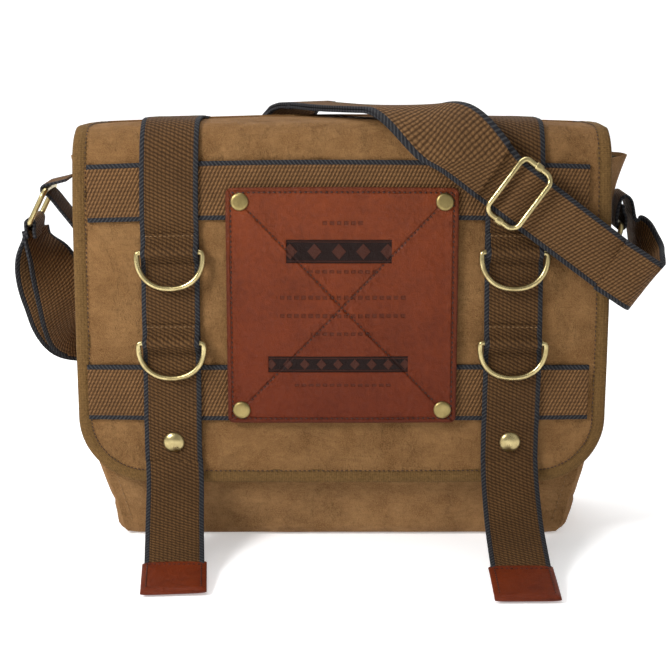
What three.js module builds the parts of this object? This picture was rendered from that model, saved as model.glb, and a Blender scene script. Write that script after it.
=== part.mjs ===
// Canvas messenger bag: body, flap, webbing, leather patch, rings, snaps and shoulder strap.
// Millimetres, +Z up, front of the bag towards -Y. Origin: centre of the base, on the floor.
import * as THREE from "three";

const gap = 0.3; // between pieces that touch
const panelThick = 2.5;
const bodyHeight = 256;
const mouthHalfWidth = 168;
const baseHalfWidth = 150;
const mouthHalfDepth = 50;
const baseHalfDepth = 46;
const panelSwell = 5;
const flareLeft = 15; // how far the top of each gusset stands out
const flareRight = 26;

const flapThick = 3;
const flapHalfWidth = 175;
const flapCornerRadius = 44;
const bindingWidth = 10;
const flapTopLength = 92; // from the rear seam to the front bend
const flapBendRadius = 20;
const flapFrontLength = 218;
const flapBow = 4; // how far the front of the flap swells out
const flapCrown = 5; // how far the sides of its top fall below the middle
const flapSweep = 8; // how far the sides of its front fall back
const hingeY = 50;
const hingeZ = 277;

const webbingWidth = 38;
const webbingThick = 1.8;
const strapX = 111.5; // centre of each upright webbing
const upperBandZ = 240;
const lowerBandZ = 106;

const patchWidth = 150;
const patchHeight = 156;
const patchCentreZ = 164;
const patchThick = 2;
const capRadius = 5.85;
const snapZ = 72;
const snapRadius = 7;

const wire = 3.5;
const ringWidth = 46.5;
const ringHeight = 27;
const ringBarZ = { upper: 201, lower: 141 };
const tipWidth = 41;

const colours = {
  canvas: [0x7a5730, 0.95, 0],
  webbing: [0x4a3018, 0.9, 0],
  leather: [0x7a2f17, 0.5, 0],
  binding: [0x5a4424, 0.9, 0],
  lining: [0x4a4630, 0.95, 0],
  brass: [0x9c8a58, 0.35, 1],
  board: [0x3a3631, 0.9, 0],
};

const bag = new THREE.Group();

// Turns every face round if the shape was bent inside out.
function facingOut(geometry) {
  const flat = geometry.index ? geometry.toNonIndexed() : geometry;
  const at = flat.getAttribute("position");
  const [a, b, c] = [new THREE.Vector3(), new THREE.Vector3(), new THREE.Vector3()];
  let volume = 0;
  for (let i = 0; i < at.count; i += 3) {
    a.fromBufferAttribute(at, i);
    b.fromBufferAttribute(at, i + 1);
    c.fromBufferAttribute(at, i + 2);
    volume += a.dot(b.cross(c));
  }
  if (volume >= 0) return flat;
  for (let i = 0; i < at.count; i += 3) {
    a.fromBufferAttribute(at, i);
    b.fromBufferAttribute(at, i + 1);
    at.setXYZ(i, b.x, b.y, b.z);
    at.setXYZ(i + 1, a.x, a.y, a.z);
  }
  flat.computeVertexNormals();
  return flat;
}

function add(name, geometry, finish) {
  const [color, roughness, metalness] = colours[finish];
  const material = new THREE.MeshStandardMaterial({ color, roughness, metalness });
  const mesh = new THREE.Mesh(facingOut(geometry), material);
  mesh.name = name;
  bag.add(mesh);
  return mesh;
}

// A flat slab of across x along cells, bent by place(u, v, side): u and v run 0 to 1, side is -0.5 or 0.5.
function bentSlab(across, along, place) {
  const slab = new THREE.BoxGeometry(1, 1, 1, across, along, 1);
  const at = slab.getAttribute("position");
  for (let i = 0; i < at.count; i++) {
    const p = place(at.getX(i) + 0.5, at.getY(i) + 0.5, at.getZ(i));
    at.setXYZ(i, p[0], p[1], p[2]);
  }
  return slab;
}

// ---- body ----

const smooth = (t) => t * t * (3 - 2 * t);
const clamp01 = (t) => Math.min(1, Math.max(0, t));

function halfWidthAt(z) {
  return baseHalfWidth + (mouthHalfWidth - baseHalfWidth) * smooth(clamp01(z / 70));
}

function halfDepthAt(z) {
  return baseHalfDepth + (mouthHalfDepth - baseHalfDepth) * smooth(clamp01(z / 40));
}

// How far the filled bag swells its front and back panels out between the gussets.
function swellAt(x, z) {
  return panelSwell * Math.max(0, 1 - (x / halfWidthAt(z)) ** 2) * smooth(clamp01(z / 60));
}

const seamRoom = panelThick + gap;

// The back panel stands higher than the mouth, and the flap is sewn to its top.
const backHeight = hingeZ - flapThick / 2 - gap - 0.2;

for (const [name, side, height] of [["front_panel", -1, bodyHeight], ["back_panel", 1, backHeight]]) {
  const panel = bentSlab(8, 8, (u, v, h) => {
    const crown = height > bodyHeight ? flapCrown * (1 - 2 * u) ** 2 : 0;
    const z = (1 - v) * (height - crown);
    const x = side * (1 - 2 * u) * halfWidthAt(z);
    return [x, side * (halfDepthAt(z) + swellAt(x, z) + (h - 0.5) * panelThick), z];
  });
  add(name, panel, "canvas");
}

// How far out the middle of a gusset's outer face is, at height z.
function gussetFace(side, z) {
  const flare = side < 0 ? flareLeft : flareRight;
  return halfWidthAt(z) - 0.6 + 2 + flare * (z / bodyHeight) ** 4;
}

for (const [name, side] of [["gusset_left", -1], ["gusset_right", 1]]) {
  const gusset = bentSlab(8, 8, (u, v, h) => {
    const z = v * bodyHeight;
    const depth = halfDepthAt(z) - seamRoom;
    const y = side * (2 * u - 1) * depth;
    const edge = halfWidthAt(z) - 0.6;
    const out = (gussetFace(side, z) - edge) * Math.cos((Math.PI / 2) * (2 * u - 1)) ** 2;
    return [side * (edge + out + (h - 0.5) * panelThick), y, z];
  });
  add(name, gusset, "canvas");
}

const baseRoom = panelThick + gap + 1;
const base = new THREE.BoxGeometry(
  2 * (baseHalfWidth - baseRoom),
  2 * (baseHalfDepth - baseRoom),
  panelThick,
);
add("base_panel", base, "canvas").position.z = panelThick / 2;

const stiffener = new THREE.BoxGeometry(2 * (baseHalfWidth - 8), 2 * (baseHalfDepth - 8), 2);
add("base_stiffener", stiffener, "board").position.z = panelThick + gap + 1;

// The lining is an open-topped tub: a lathed wall, up outside and down inside, pushed out to
// the body's section.
const liningFloor = panelThick + 2 * gap + 2;
const liningThick = 1;
const wallHeights = [40, 80, 160, bodyHeight - 2];
const liningProfile = [
  { r: 0, z: liningFloor, inset: 0 },
  { r: 1, z: liningFloor, inset: 0 },
  ...wallHeights.map((z) => ({ r: 1, z, inset: 0 })),
  ...wallHeights.map((z) => ({ r: 1, z, inset: liningThick })).reverse(),
  { r: 1, z: liningFloor + liningThick, inset: liningThick },
  { r: 0, z: liningFloor + liningThick, inset: liningThick },
];
const lining = new THREE.LatheGeometry(
  liningProfile.map(({ r, z }) => new THREE.Vector2(r, z)),
  28,
);
lining.rotateX(Math.PI / 2);
const liningAt = lining.getAttribute("position");
const within = (t) => Math.min(1, Math.max(-1, t));
for (let i = 0; i < liningAt.count; i++) {
  const { r, z, inset } = liningProfile[i % liningProfile.length];
  const angle = Math.atan2(liningAt.getY(i), liningAt.getX(i));
  const reach = (1.018 * r) / Math.max(Math.abs(Math.cos(angle)), Math.abs(Math.sin(angle)));
  const room = panelThick + 2 + inset;
  const x = within(Math.cos(angle) * reach) * (halfWidthAt(z) - room - 1);
  const y = within(Math.sin(angle) * reach) * (halfDepthAt(z) - room);
  liningAt.setXYZ(i, x, y, z);
}
lining.computeVertexNormals();
add("lining", lining, "lining");

// ---- flap ----

const bendLength = (Math.PI / 2) * flapBendRadius;
const flapLength = flapTopLength + bendLength + flapFrontLength;
const frontY = hingeY - flapTopLength - flapBendRadius;
const topZ = hingeZ + 4;
const flapEndZ = topZ - flapBendRadius - flapFrontLength;

// The point x across and s down the flap's middle surface, h out from it.
function onFlap(x, s, h) {
  const q = (x / flapHalfWidth) ** 2;
  let y, z, ny, nz;
  if (s < flapTopLength) {
    const t = Math.max(s, -20) / flapTopLength;
    [y, z, ny, nz] = [hingeY - s, hingeZ + 4 * Math.sin((Math.PI / 2) * t), 0, 1];
  } else if (s < flapTopLength + bendLength) {
    const a = (s - flapTopLength) / flapBendRadius;
    ny = -Math.sin(a);
    nz = Math.cos(a);
    y = frontY + flapBendRadius + ny * flapBendRadius;
    z = topZ - flapBendRadius + nz * flapBendRadius;
  } else {
    const down = s - flapTopLength - bendLength;
    const t = down / flapFrontLength;
    y = frontY - flapBow * Math.sin(Math.PI * clamp01(t));
    z = topZ - flapBendRadius - down;
    ny = -1;
    nz = 0;
  }
  const fall = clamp01(s / (flapTopLength + bendLength));
  const drop = flapCrown * q * clamp01((z - flapEndZ) / (topZ - flapEndZ));
  return [x, y + flapSweep * q * fall + ny * h, z + nz * h - drop];
}

const sAtZ = (z) => flapTopLength + bendLength + (topZ - flapBendRadius - z);

function flapHalfWidthAt(s) {
  return flapHalfWidth - 4 * (1 - smooth(clamp01(s / 170)));
}

// The flap's edge, inset from its outline, by t: 0 to 1 down the left, along the bottom and up the right.
const cornerArc = (Math.PI / 2) * flapCornerRadius;
const sideRun = flapLength - flapCornerRadius;
const bottomRun = 2 * (flapHalfWidth - flapCornerRadius);
const edgeRun = 2 * sideRun + 2 * cornerArc + bottomRun;

function flapEdge(t, inset) {
  let d = t * edgeRun;
  const sign = d > edgeRun / 2 ? 1 : -1;
  if (sign > 0) d = edgeRun - d;
  if (d < sideRun) return [sign * (flapHalfWidthAt(d) - inset), d];
  const cx = flapHalfWidth - flapCornerRadius;
  const cs = flapLength - flapCornerRadius;
  const r = flapCornerRadius - inset;
  if (d < sideRun + cornerArc) {
    const a = (d - sideRun) / flapCornerRadius;
    return [sign * (cx + r * Math.cos(a)), cs + r * Math.sin(a)];
  }
  return [sign * (cx - (d - sideRun - cornerArc)), flapLength - inset];
}

// Rows down the flap: close together over the bend and round the corners.
const panelRows = [0, 46, 92, 100, 108, 116, 123.4, 150, 180, 210, 240, 270, flapLength - 44];
for (const a of [0.25, 0.5, 0.75, 1]) {
  panelRows.push(flapLength - 44 + (44 - bindingWidth - gap) * Math.sin((a * Math.PI) / 2));
}

function flapPanelHalf(s) {
  const inset = bindingWidth + gap;
  const down = s - (flapLength - flapCornerRadius);
  if (down <= 0) return flapHalfWidthAt(s) - inset;
  const r = flapCornerRadius - inset;
  return flapHalfWidth - flapCornerRadius + Math.sqrt(Math.max(0, r * r - down * down));
}

const flapPanel = bentSlab(10, panelRows.length - 1, (u, v, h) => {
  const s = panelRows[Math.round(v * (panelRows.length - 1))];
  return onFlap((1 - 2 * u) * flapPanelHalf(s), s, h * flapThick);
});
add("flap_panel", flapPanel, "canvas");

// Steps round the edge, close together at the bend and the corners.
const edgeSteps = [0, 46, 92, 100, 108, 116, 123.4, 160, 200, 240, sideRun];
for (const a of [0.25, 0.5, 0.75, 1]) edgeSteps.push(sideRun + a * cornerArc);
edgeSteps.push(edgeRun / 2 - 60);
const mirrored = edgeSteps.map((d) => edgeRun - d).reverse();
const bindingSteps = [...edgeSteps, edgeRun / 2, ...mirrored].map((d) => d / edgeRun);

const bindingThick = 4.4;
const binding = bentSlab(1, bindingSteps.length - 1, (u, v, h) => {
  const t = bindingSteps[Math.round(v * (bindingSteps.length - 1))];
  const [x, s] = flapEdge(t, u * bindingWidth);
  return onFlap(x, s, h * bindingThick);
});
add("flap_binding", binding, "binding");

// A webbing or leather rectangle lying on the flap, its middle h out from the flap's middle surface.
function laid(x0, x1, s0, s1, h, thick, across, along) {
  const rows = [s0, ...panelRows.filter((s) => s > s0 + 2 && s < s1 - 2), s1];
  const steps = along ?? rows.length - 1;
  return bentSlab(across, steps, (u, v, side) => {
    const s = along ? s0 + (s1 - s0) * v : rows[Math.round(v * (rows.length - 1))];
    return onFlap(x1 + (x0 - x1) * u, s, h + side * thick);
  });
}

const bandLayer = flapThick / 2 + gap + webbingThick / 2;
const strapLayer = bandLayer + webbingThick + gap;
const patchLayer = bandLayer + webbingThick / 2 + gap + patchThick / 2;
const bandHalf = flapHalfWidth - bindingWidth - 2;

for (const [name, z] of [["webbing_band_upper", upperBandZ], ["webbing_band_lower", lowerBandZ]]) {
  const s0 = sAtZ(z + webbingWidth / 2);
  const s1 = sAtZ(z - webbingWidth / 2);
  const half = z > 200 ? bandHalf - 3 : bandHalf;
  add(name, laid(-half, half, s0, s1, bandLayer, webbingThick, 10, 2), "webbing");
}

const strapEnd = sAtZ(snapZ - 14);
for (const [name, x] of [["flap_webbing_left", -strapX], ["flap_webbing_right", strapX]]) {
  const half = webbingWidth / 2;
  add(name, laid(x - half, x + half, 2, strapEnd, strapLayer, webbingThick, 2), "webbing");
}

const patchTop = sAtZ(patchCentreZ + patchHeight / 2);
const patchEnd = sAtZ(patchCentreZ - patchHeight / 2);
const patch = laid(-patchWidth / 2, patchWidth / 2, patchTop, patchEnd, patchLayer, patchThick, 6, 6);
add("leather_patch", patch, "leather");

// A turned cap or stud, its back at the origin and its face towards -Y.
function turned(profile, sides = 20) {
  const points = profile.map(([r, z]) => new THREE.Vector2(r, z));
  return new THREE.LatheGeometry(points, sides).rotateX(Math.PI);
}

const flatCap = [[0, 0], [capRadius, 0], [capRadius, 1], [capRadius - 0.8, 1.8], [0, 1.8]];
const domedCap = [
  [0, 0],
  [snapRadius, 0],
  [snapRadius, 1],
  [snapRadius * 0.8, 2.3],
  [snapRadius * 0.4, 3],
  [0, 3.2],
];

// Puts a piece on the flap's front, h out, turned to the surface there: its x across, its z up, its -y out.
function place(name, geometry, finish, x, z, h) {
  const s = sAtZ(z);
  const at = (dx, ds) => new THREE.Vector3(...onFlap(x + dx, s + ds, h));
  const across = at(1, 0).sub(at(-1, 0)).normalize();
  const back = new THREE.Vector3().crossVectors(at(0, -1).sub(at(0, 1)), across).normalize();
  const up = new THREE.Vector3().crossVectors(across, back);
  const mesh = add(name, geometry, finish);
  mesh.quaternion.setFromRotationMatrix(new THREE.Matrix4().makeBasis(across, back, up));
  mesh.position.copy(at(0, 0));
}

const rivets = {
  upper_left: [-66, 233],
  upper_right: [66, 233],
  lower_left: [-66, 95],
  lower_right: [66, 95],
};
for (const [where, [x, z]] of Object.entries(rivets)) {
  place("patch_rivet_" + where, turned(flatCap), "brass", x, z, patchLayer + patchThick / 2 + gap + 0.4);
}

for (const [where, x] of [["left", -strapX], ["right", strapX]]) {
  const capBack = strapLayer + webbingThick / 2 + gap + 0.4;
  place("snap_cap_" + where, turned(domedCap), "brass", x, snapZ, capBack);
  // The magnetic stud behind the flap has a boss that sits in the socket on the front panel.
  const behind = -flapThick / 2 - gap - 0.6;
  const stud = [[0, -3], [2.5, -3], [2.5, -1.5], [8, -1.5], [8, 0], [0, 0]];
  place("snap_stud_" + where, turned(stud), "brass", x, snapZ, behind);
  const panelFace = halfDepthAt(snapZ) + swellAt(x - 8 * Math.sign(x), snapZ) + gap;
  const [, studY] = onFlap(x, sAtZ(snapZ), behind - 1.5 - gap);
  const height = -studY - panelFace - 0.6;
  const recess = 0.8;
  const socket = [[0, 0], [8, 0], [8, height], [4.5, height], [4.5, recess], [0, recess]];
  add("snap_socket_" + where, turned(socket), "brass").position.set(x, -panelFace, snapZ);
}

// ---- D-rings on the flap's webbing ----

// A wire of round section bent along a closed or open path.
function bentWire(path, steps, sides = 8, radius = wire / 2) {
  const section = new THREE.Shape().absarc(0, 0, radius, 0, 2 * Math.PI);
  return new THREE.ExtrudeGeometry(section, {
    extrudePath: path,
    steps,
    curveSegments: sides,
    bevelEnabled: false,
  });
}

// A D of wire hanging from its straight bar, in the plane y = 0 with the bar's middle at the origin.
function dRing() {
  const half = (ringWidth - wire) / 2;
  const drop = ringHeight - wire;
  const path = new THREE.CurvePath();
  const v = (x, z) => new THREE.Vector3(x, 0, z);
  path.add(new THREE.LineCurve3(v(-half + 2, 0), v(half - 2, 0)));
  path.add(new THREE.QuadraticBezierCurve3(v(half - 2, 0), v(half, 0), v(half, -3)));
  path.add(new THREE.CubicBezierCurve3(v(half, -3), v(half, -15), v(half * 0.62, -drop), v(0, -drop)));
  path.add(new THREE.CubicBezierCurve3(v(0, -drop), v(-half * 0.62, -drop), v(-half, -15), v(-half, -3)));
  path.add(new THREE.QuadraticBezierCurve3(v(-half, -3), v(-half, 0), v(-half + 2, 0)));
  return new THREE.TubeGeometry(path, 30, wire / 2, 7, true);
}

const keeperLayer = strapLayer + webbingThick / 2;
const ringOut = keeperLayer + gap + wire / 2 + 0.2;
const ringPlaces = {
  upper_left: [-strapX, ringBarZ.upper],
  upper_right: [strapX, ringBarZ.upper],
  lower_left: [-strapX, ringBarZ.lower],
  lower_right: [strapX, ringBarZ.lower],
};
for (const [where, [x, z]] of Object.entries(ringPlaces)) {
  place("d_ring_" + where, dRing(), "brass", x, z, ringOut);
  // The keeper is a short webbing stitched above and below the bar, with the bar in its fold.
  const out = wire + 0.9;
  const inside = [[14, 0], [6, 0], [2.6, out], [-2.6, out], [-5, 0], [-7, 0]];
  const shape = new THREE.Shape();
  shape.moveTo(14, 1.3);
  shape.lineTo(6.5, 1.3);
  shape.lineTo(3.2, out + 1.3);
  shape.lineTo(-3.2, out + 1.3);
  shape.lineTo(-5.6, 1.3);
  shape.lineTo(-7, 1.3);
  for (const [a, b] of inside.reverse()) shape.lineTo(a, b);
  shape.closePath();
  const keeper = new THREE.ExtrudeGeometry(shape, { depth: webbingWidth - 2, bevelEnabled: false });
  // The shape's x is up the flap and its y is out of it.
  keeper.translate(0, 0, -(webbingWidth - 2) / 2);
  const turn = new THREE.Matrix4().makeBasis(
    new THREE.Vector3(0, 0, 1),
    new THREE.Vector3(0, -1, 0),
    new THREE.Vector3(1, 0, 0),
  );
  keeper.applyMatrix4(turn);
  place("ring_keeper_" + where, keeper, "webbing", x, z, keeperLayer + gap);
}

// ---- loose webbing tails ----

// A ribbon along path points [x, y, z], each with the direction its width lies in.
function ribbon(points, widthDirections, width, thick, steps, across = 1) {
  const path = new THREE.CatmullRomCurve3(points.map((p) => new THREE.Vector3(...p)), false, "centripetal");
  const sideways = new THREE.CatmullRomCurve3(widthDirections.map((p) => new THREE.Vector3(...p)));
  return bentSlab(across, steps, (u, v, h) => {
    const t = clamp01(v);
    const along = path.getTangent(t);
    const wide = sideways.getPoint(t);
    wide.addScaledVector(along, -wide.dot(along)).normalize();
    const out = new THREE.Vector3().crossVectors(wide, along);
    const p = path.getPoint(t);
    p.addScaledVector(wide, (0.5 - u) * width).addScaledVector(out, -h * thick);
    return [p.x, p.y, p.z];
  });
}

const [, tailY, tailZ] = onFlap(strapX, strapEnd, strapLayer);
const tails = { left: [-strapX, -104, -160], right: [strapX, 113, -172] };
for (const [where, [x, endX, endY]] of Object.entries(tails)) {
  const shift = endX - x;
  const reach = endY - tailY;
  const tailPath = [
    [x, tailY - 0.2, tailZ - 2.9],
    [x + shift * 0.1, tailY + reach * 0.06, tailZ - 12],
    [x + shift * 0.3, tailY + reach * 0.3, tailZ - 33],
    [x + shift * 0.7, tailY + reach * 0.68, tailZ - 50],
    [endX, endY + 12, 1.6],
  ];
  const wide = tailPath.map((_, i) => [1, i ? 0 : Math.sign(x) * 0.058, 0]);
  const tail = ribbon(tailPath.slice(0, 4), wide.slice(0, 4), webbingWidth, webbingThick, 10);
  add("tail_webbing_" + where, tail, "webbing");
  // The leather tip is folded over the webbing's end.
  const near = tailPath[3];
  const tip = [
    [near[0] + shift * 0.01, near[1] + (endY - near[1]) * 0.03, near[2] * 0.97 + 1.6 * 0.03],
    [(near[0] + endX) / 2, (near[1] + endY) / 2, (near[2] + 2.6) / 2 + 0.4],
    [endX, endY, 2.6],
  ];
  add("tail_tip_" + where, ribbon(tip, wide.slice(0, 3), tipWidth, 3.6, 4), "leather");
}

// ---- shoulder strap ----

// An anchor: webbing folded through the side ring and stitched down the gusset.
const sideRingWidth = 44;
const anchorWidth = 36;
// The left ring hangs from its anchor; the right one stands up from it, pulled up by the strap.
const sides = {
  left: { sign: -1, barX: 199, barZ: 234, farX: 210.5, farZ: 211, way: 1 },
  right: { sign: 1, barX: 182.5, barZ: 190, farX: 188.5, farZ: 210.5, way: -1 },
};

// A rounded rectangle of wire lying between two bars that run along Y.
function sideRing({ sign, barX, barZ, farX, farZ }) {
  const half = sideRingWidth / 2;
  const top = new THREE.Vector3(sign * barX, 0, barZ);
  const far = new THREE.Vector3(sign * farX, 0, farZ);
  const down = far.sub(top);
  const reach = down.length();
  const at = (y, d) => top.clone().addScaledVector(down, d / reach).add(new THREE.Vector3(0, y, 0));
  const r = 5;
  const path = new THREE.CurvePath();
  path.add(new THREE.LineCurve3(at(-half + r, 0), at(half - r, 0)));
  path.add(new THREE.QuadraticBezierCurve3(at(half - r, 0), at(half, 0), at(half, r)));
  path.add(new THREE.LineCurve3(at(half, r), at(half, reach - r)));
  path.add(new THREE.QuadraticBezierCurve3(at(half, reach - r), at(half, reach), at(half - r, reach)));
  path.add(new THREE.LineCurve3(at(half - r, reach), at(-half + r, reach)));
  path.add(new THREE.QuadraticBezierCurve3(at(-half + r, reach), at(-half, reach), at(-half, reach - r)));
  path.add(new THREE.LineCurve3(at(-half, reach - r), at(-half, r)));
  path.add(new THREE.QuadraticBezierCurve3(at(-half, r), at(-half, 0), at(-half + r, 0)));
  return new THREE.TubeGeometry(path, 32, wire / 2, 7, true);
}

// A flat strip drawn side on in the XZ plane and extruded along Y; outline points are [x, z].
function sideOn(outline, width) {
  const shape = new THREE.Shape(outline.map(([x, z]) => new THREE.Vector2(x, z)));
  const strip = new THREE.ExtrudeGeometry(shape, { depth: width, bevelEnabled: false });
  return strip.translate(0, 0, -width / 2).rotateX(Math.PI / 2);
}

for (const [where, side] of Object.entries(sides)) {
  add("side_ring_" + where, sideRing(side), "brass");
  const { sign, barX, barZ, farX, farZ, way } = side;
  const m = (x, z) => [sign * x, z];
  const r = wire / 2 + 0.35;
  const t = 1.8;
  // Up the gusset, over the bar and back down outside it, open towards the ring.
  const footZ = barZ - 31;
  const footX = gussetFace(sign, footZ) + gap;
  const anchor = [
    m(footX, footZ),
    m(barX - r - t, barZ),
    m(barX - r * 0.8 - t * 0.7, barZ + r * 0.7 + t * 0.8),
    m(barX, barZ + r + t),
    m(barX + r * 0.8 + t * 0.7, barZ + r * 0.7 + t * 0.8),
    m(barX + r + t, barZ),
    m(barX + r + t - 0.6, barZ - 4.5),
    m(barX + r - 0.4, barZ - 4.3),
    m(barX + r, barZ),
    m(barX + r * 0.7, barZ + r * 0.7),
    m(barX, barZ + r),
    m(barX - r * 0.7, barZ + r * 0.7),
    m(barX - r, barZ),
    m(footX + t, footZ),
  ];
  add("ring_anchor_" + where, sideOn(anchor, anchorWidth), "webbing");
  // The strap's own end: folded round the ring's far bar and stitched to itself beyond it.
  const rs = wire / 2 + 0.35;
  const lean = sign > 0 ? 0.4 : 1.5;
  const e = (dx, dz) => m(farX + dx, farZ - way * dz);
  // The left end stops flat; the right one curls over, out and down to meet the strap.
  const beyond = sign < 0
    ? [e(rs - 2.6, 24), e(-rs - 1.6, 24)]
    : [
        m(188.6, 224),
        m(189.8, 227.4),
        m(191.6, 228.4),
        m(193.6, 226.4),
        m(195.8, 219.8),
        m(198.2, 220.6),
        m(195.7, 228.4),
        m(191.8, 231.2),
        m(188, 229.8),
        m(185.8, 224.8),
      ];
  const loop = [
    e(-rs - t * 0.9 - lean * 0.2, -3),
    e(-rs - lean * 0.2, -3.2),
    e(-rs, 0),
    e(-rs * 0.7, rs * 0.7),
    e(0, rs),
    e(rs * 0.7, rs * 0.7),
    e(rs, 0),
    e(rs * 0.5, -rs - 0.9),
    e(rs * 0.5 + 1.6, -rs - 1.9),
    e(rs + t, 0),
    e(rs - 0.4, 6),
    ...beyond,
    e(-rs - t + 0.6, 6),
    e(-rs - t, 0),
  ];
  add("strap_end_" + where, sideOn(loop, webbingWidth), "webbing");
}

// Double webbing: down from the left ring, round behind the bag and up to its top edge.
const doubleThick = 4.4;
const rearPath = [
  [-(sides.left.farX - 1.9), 0, sides.left.farZ - 24.5],
  [-208.2, 0, 179],
  [-205, 0, 168],
  [-202, 2, 155],
  [-199, 12, 139],
  [-195, 28, 127],
  [-187, 46, 121],
  [-166, 63, 118],
  [-138, 70, 131],
  [-106, 71, 163],
  [-80, 71, 200],
  [-58, 70, 235],
  [-44, 69, 262],
];
const rearWide = [
  [0, 1, 0],
  [0.2, 0.97, 0],
  [0.72, 0.65, 0],
  [0.96, 0.3, 0],
  [0.9, 0.3, 0.32],
  [0.65, 0.4, 0.6],
  [0.4, 0.5, 0.75],
  [0.35, 0.15, 0.9],
  [0.62, 0, 0.78],
  [0.78, 0, 0.62],
  [0.85, 0, 0.52],
  [0.9, 0, 0.42],
  [0.9, 0, 0.42],
];
add("shoulder_strap_rear", ribbon(rearPath, rearWide, webbingWidth, doubleThick, 26), "webbing");

const crestPath = [
  [-43.1, 68.9, 263.8],
  [-38.5, 68.4, 273],
  [-34, 63, 284.5],
  [-28, 53, 291.3],
  [-22.8, 44.6, 292.3],
];
const crestWide = [[0.9, 0, 0.42], [0.9, 0.1, 0.4], [0.88, 0.4, 0.2], [0.87, 0.5, 0], [0.86, 0.5, 0]];
add("shoulder_strap_crest", ribbon(crestPath, crestWide, webbingWidth, doubleThick, 8), "webbing");

// The strap lying on the flap, given as [x, s, h] on the flap's own surface.
function ribbonOnFlap(points, width, thick, steps, across = 4) {
  const path = new THREE.CatmullRomCurve3(points.map((p) => new THREE.Vector3(...p)), false, "centripetal");
  return bentSlab(across, steps, (u, v, side) => {
    const p = path.getPoint(v);
    const d = path.getTangent(v).setZ(0).normalize();
    const offset = (u - 0.5) * width;
    return onFlap(p.x - d.y * offset, p.y + d.x * offset, p.z + side * thick);
  });
}

const sliderX = 112.4;
const sliderS = sAtZ(240);
const strapHeading = new THREE.Vector2(0.81, 0.586); // across and down the flap at the slider
const strapRise = 14.5;
const alongStrap = (d) => [
  sliderX + strapHeading.x * d,
  sliderS + strapHeading.y * d,
  strapRise,
];
const frontDouble = [
  [-21.5, 8, 12.6],
  [-2, 42, 10.5],
  [24, 76, 10],
  [52, 104, 11],
  alongStrap(-48),
  alongStrap(-24),
];
const doubleGeometry = ribbonOnFlap(frontDouble, webbingWidth, doubleThick, 18);
add("shoulder_strap_front", doubleGeometry, "webbing");
const frontSingle = [alongStrap(-23.5), alongStrap(0), alongStrap(30), alongStrap(76)];
add("shoulder_strap_adjusting", ribbonOnFlap(frontSingle, webbingWidth, 2.4, 8), "webbing");

// From the flap's edge out, round in a fold and back up to the right ring.
const [fx, fy, fz] = onFlap(...alongStrap(77));
const foldWide = [0.57, 0, 0.81];
const returnPath = [
  [fx + 1, fy, fz - 0.7],
  [fx + 9, fy, fz - 6.5],
  [fx + 18, fy + 2, fz - 12.5],
  [fx + 23, fy + 9, fz - 15],
  [fx + 25.5, fy + 20, fz - 11],
  [203, -27, 186],
  [202.5, -13, 196],
  [200.5, -3, 204],
  [198.4, -0.2, 211.5],
  [197, 0, 217.4],
];
const returnWide = [
  foldWide,
  foldWide,
  foldWide,
  foldWide,
  [0.5, -0.1, 0.8],
  [0.5, -0.35, 0.65],
  [0.3, -0.75, 0.3],
  [0.1, -0.95, 0.1],
  [0, -1, 0],
  [0, -1, 0],
];
add("shoulder_strap_return", ribbon(returnPath, returnWide, webbingWidth, 2.4, 18), "webbing");

// The slider: a rounded frame of wire, bowed so that the strap runs under its ends and over its bar.
const sliderLong = 46;
const sliderShort = 27;
function onSlider(a, d, h) {
  const x = sliderX + strapHeading.x * d + strapHeading.y * a;
  const s = sliderS + strapHeading.y * d - strapHeading.x * a;
  return new THREE.Vector3(...onFlap(x, s, strapRise + h));
}
const halfLong = (sliderLong - wire) / 2;
const halfShort = (sliderShort - wire) / 2;
const lift = 1.2 + wire / 2 + 0.9;
const framePoints = [
  [-halfLong + 5, -halfShort, lift],
  [0, -halfShort, lift],
  [halfLong - 5, -halfShort, lift],
  [halfLong, -halfShort + 5, lift - 1],
  [halfLong + 0.6, 0, lift - 2.4],
  [halfLong, halfShort - 5, lift - 1],
  [halfLong - 5, halfShort, lift],
  [0, halfShort, lift],
  [-halfLong + 5, halfShort, lift],
  [-halfLong, halfShort - 5, lift - 1],
  [-halfLong - 0.6, 0, lift - 2.4],
  [-halfLong, -halfShort + 5, lift - 1],
].map((p) => onSlider(...p));
const frameLine = new THREE.CatmullRomCurve3(framePoints, true, "centripetal");
add("slider_frame", new THREE.TubeGeometry(frameLine, 40, wire / 2, 7, true), "brass");

const barHalf = halfLong - wire / 2 - 0.5;
const barLine = new THREE.LineCurve3(onSlider(-barHalf, 0, -3.2), onSlider(barHalf, 0, -3.2));
add("slider_bar", bentWire(barLine, 1, 8, 1.5), "brass");

export default bag;
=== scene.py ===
import math

import bmesh
import bpy
from mathutils import Matrix, Vector, geometry, noise


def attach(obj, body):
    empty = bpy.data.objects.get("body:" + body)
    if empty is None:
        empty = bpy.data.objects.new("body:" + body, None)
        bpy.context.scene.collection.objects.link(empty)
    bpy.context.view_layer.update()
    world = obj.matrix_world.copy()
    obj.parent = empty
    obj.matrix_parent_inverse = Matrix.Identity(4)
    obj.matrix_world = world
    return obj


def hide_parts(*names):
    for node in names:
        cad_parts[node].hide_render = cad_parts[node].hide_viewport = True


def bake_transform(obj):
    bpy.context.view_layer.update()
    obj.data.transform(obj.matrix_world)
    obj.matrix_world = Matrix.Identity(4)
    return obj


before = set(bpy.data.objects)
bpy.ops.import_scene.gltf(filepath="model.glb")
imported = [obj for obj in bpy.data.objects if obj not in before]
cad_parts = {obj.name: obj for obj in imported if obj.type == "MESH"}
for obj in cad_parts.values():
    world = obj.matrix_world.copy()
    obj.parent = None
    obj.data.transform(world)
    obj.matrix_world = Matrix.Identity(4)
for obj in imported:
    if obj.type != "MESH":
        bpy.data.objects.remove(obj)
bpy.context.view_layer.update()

mm = 0.001
scene = bpy.context.scene


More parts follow.
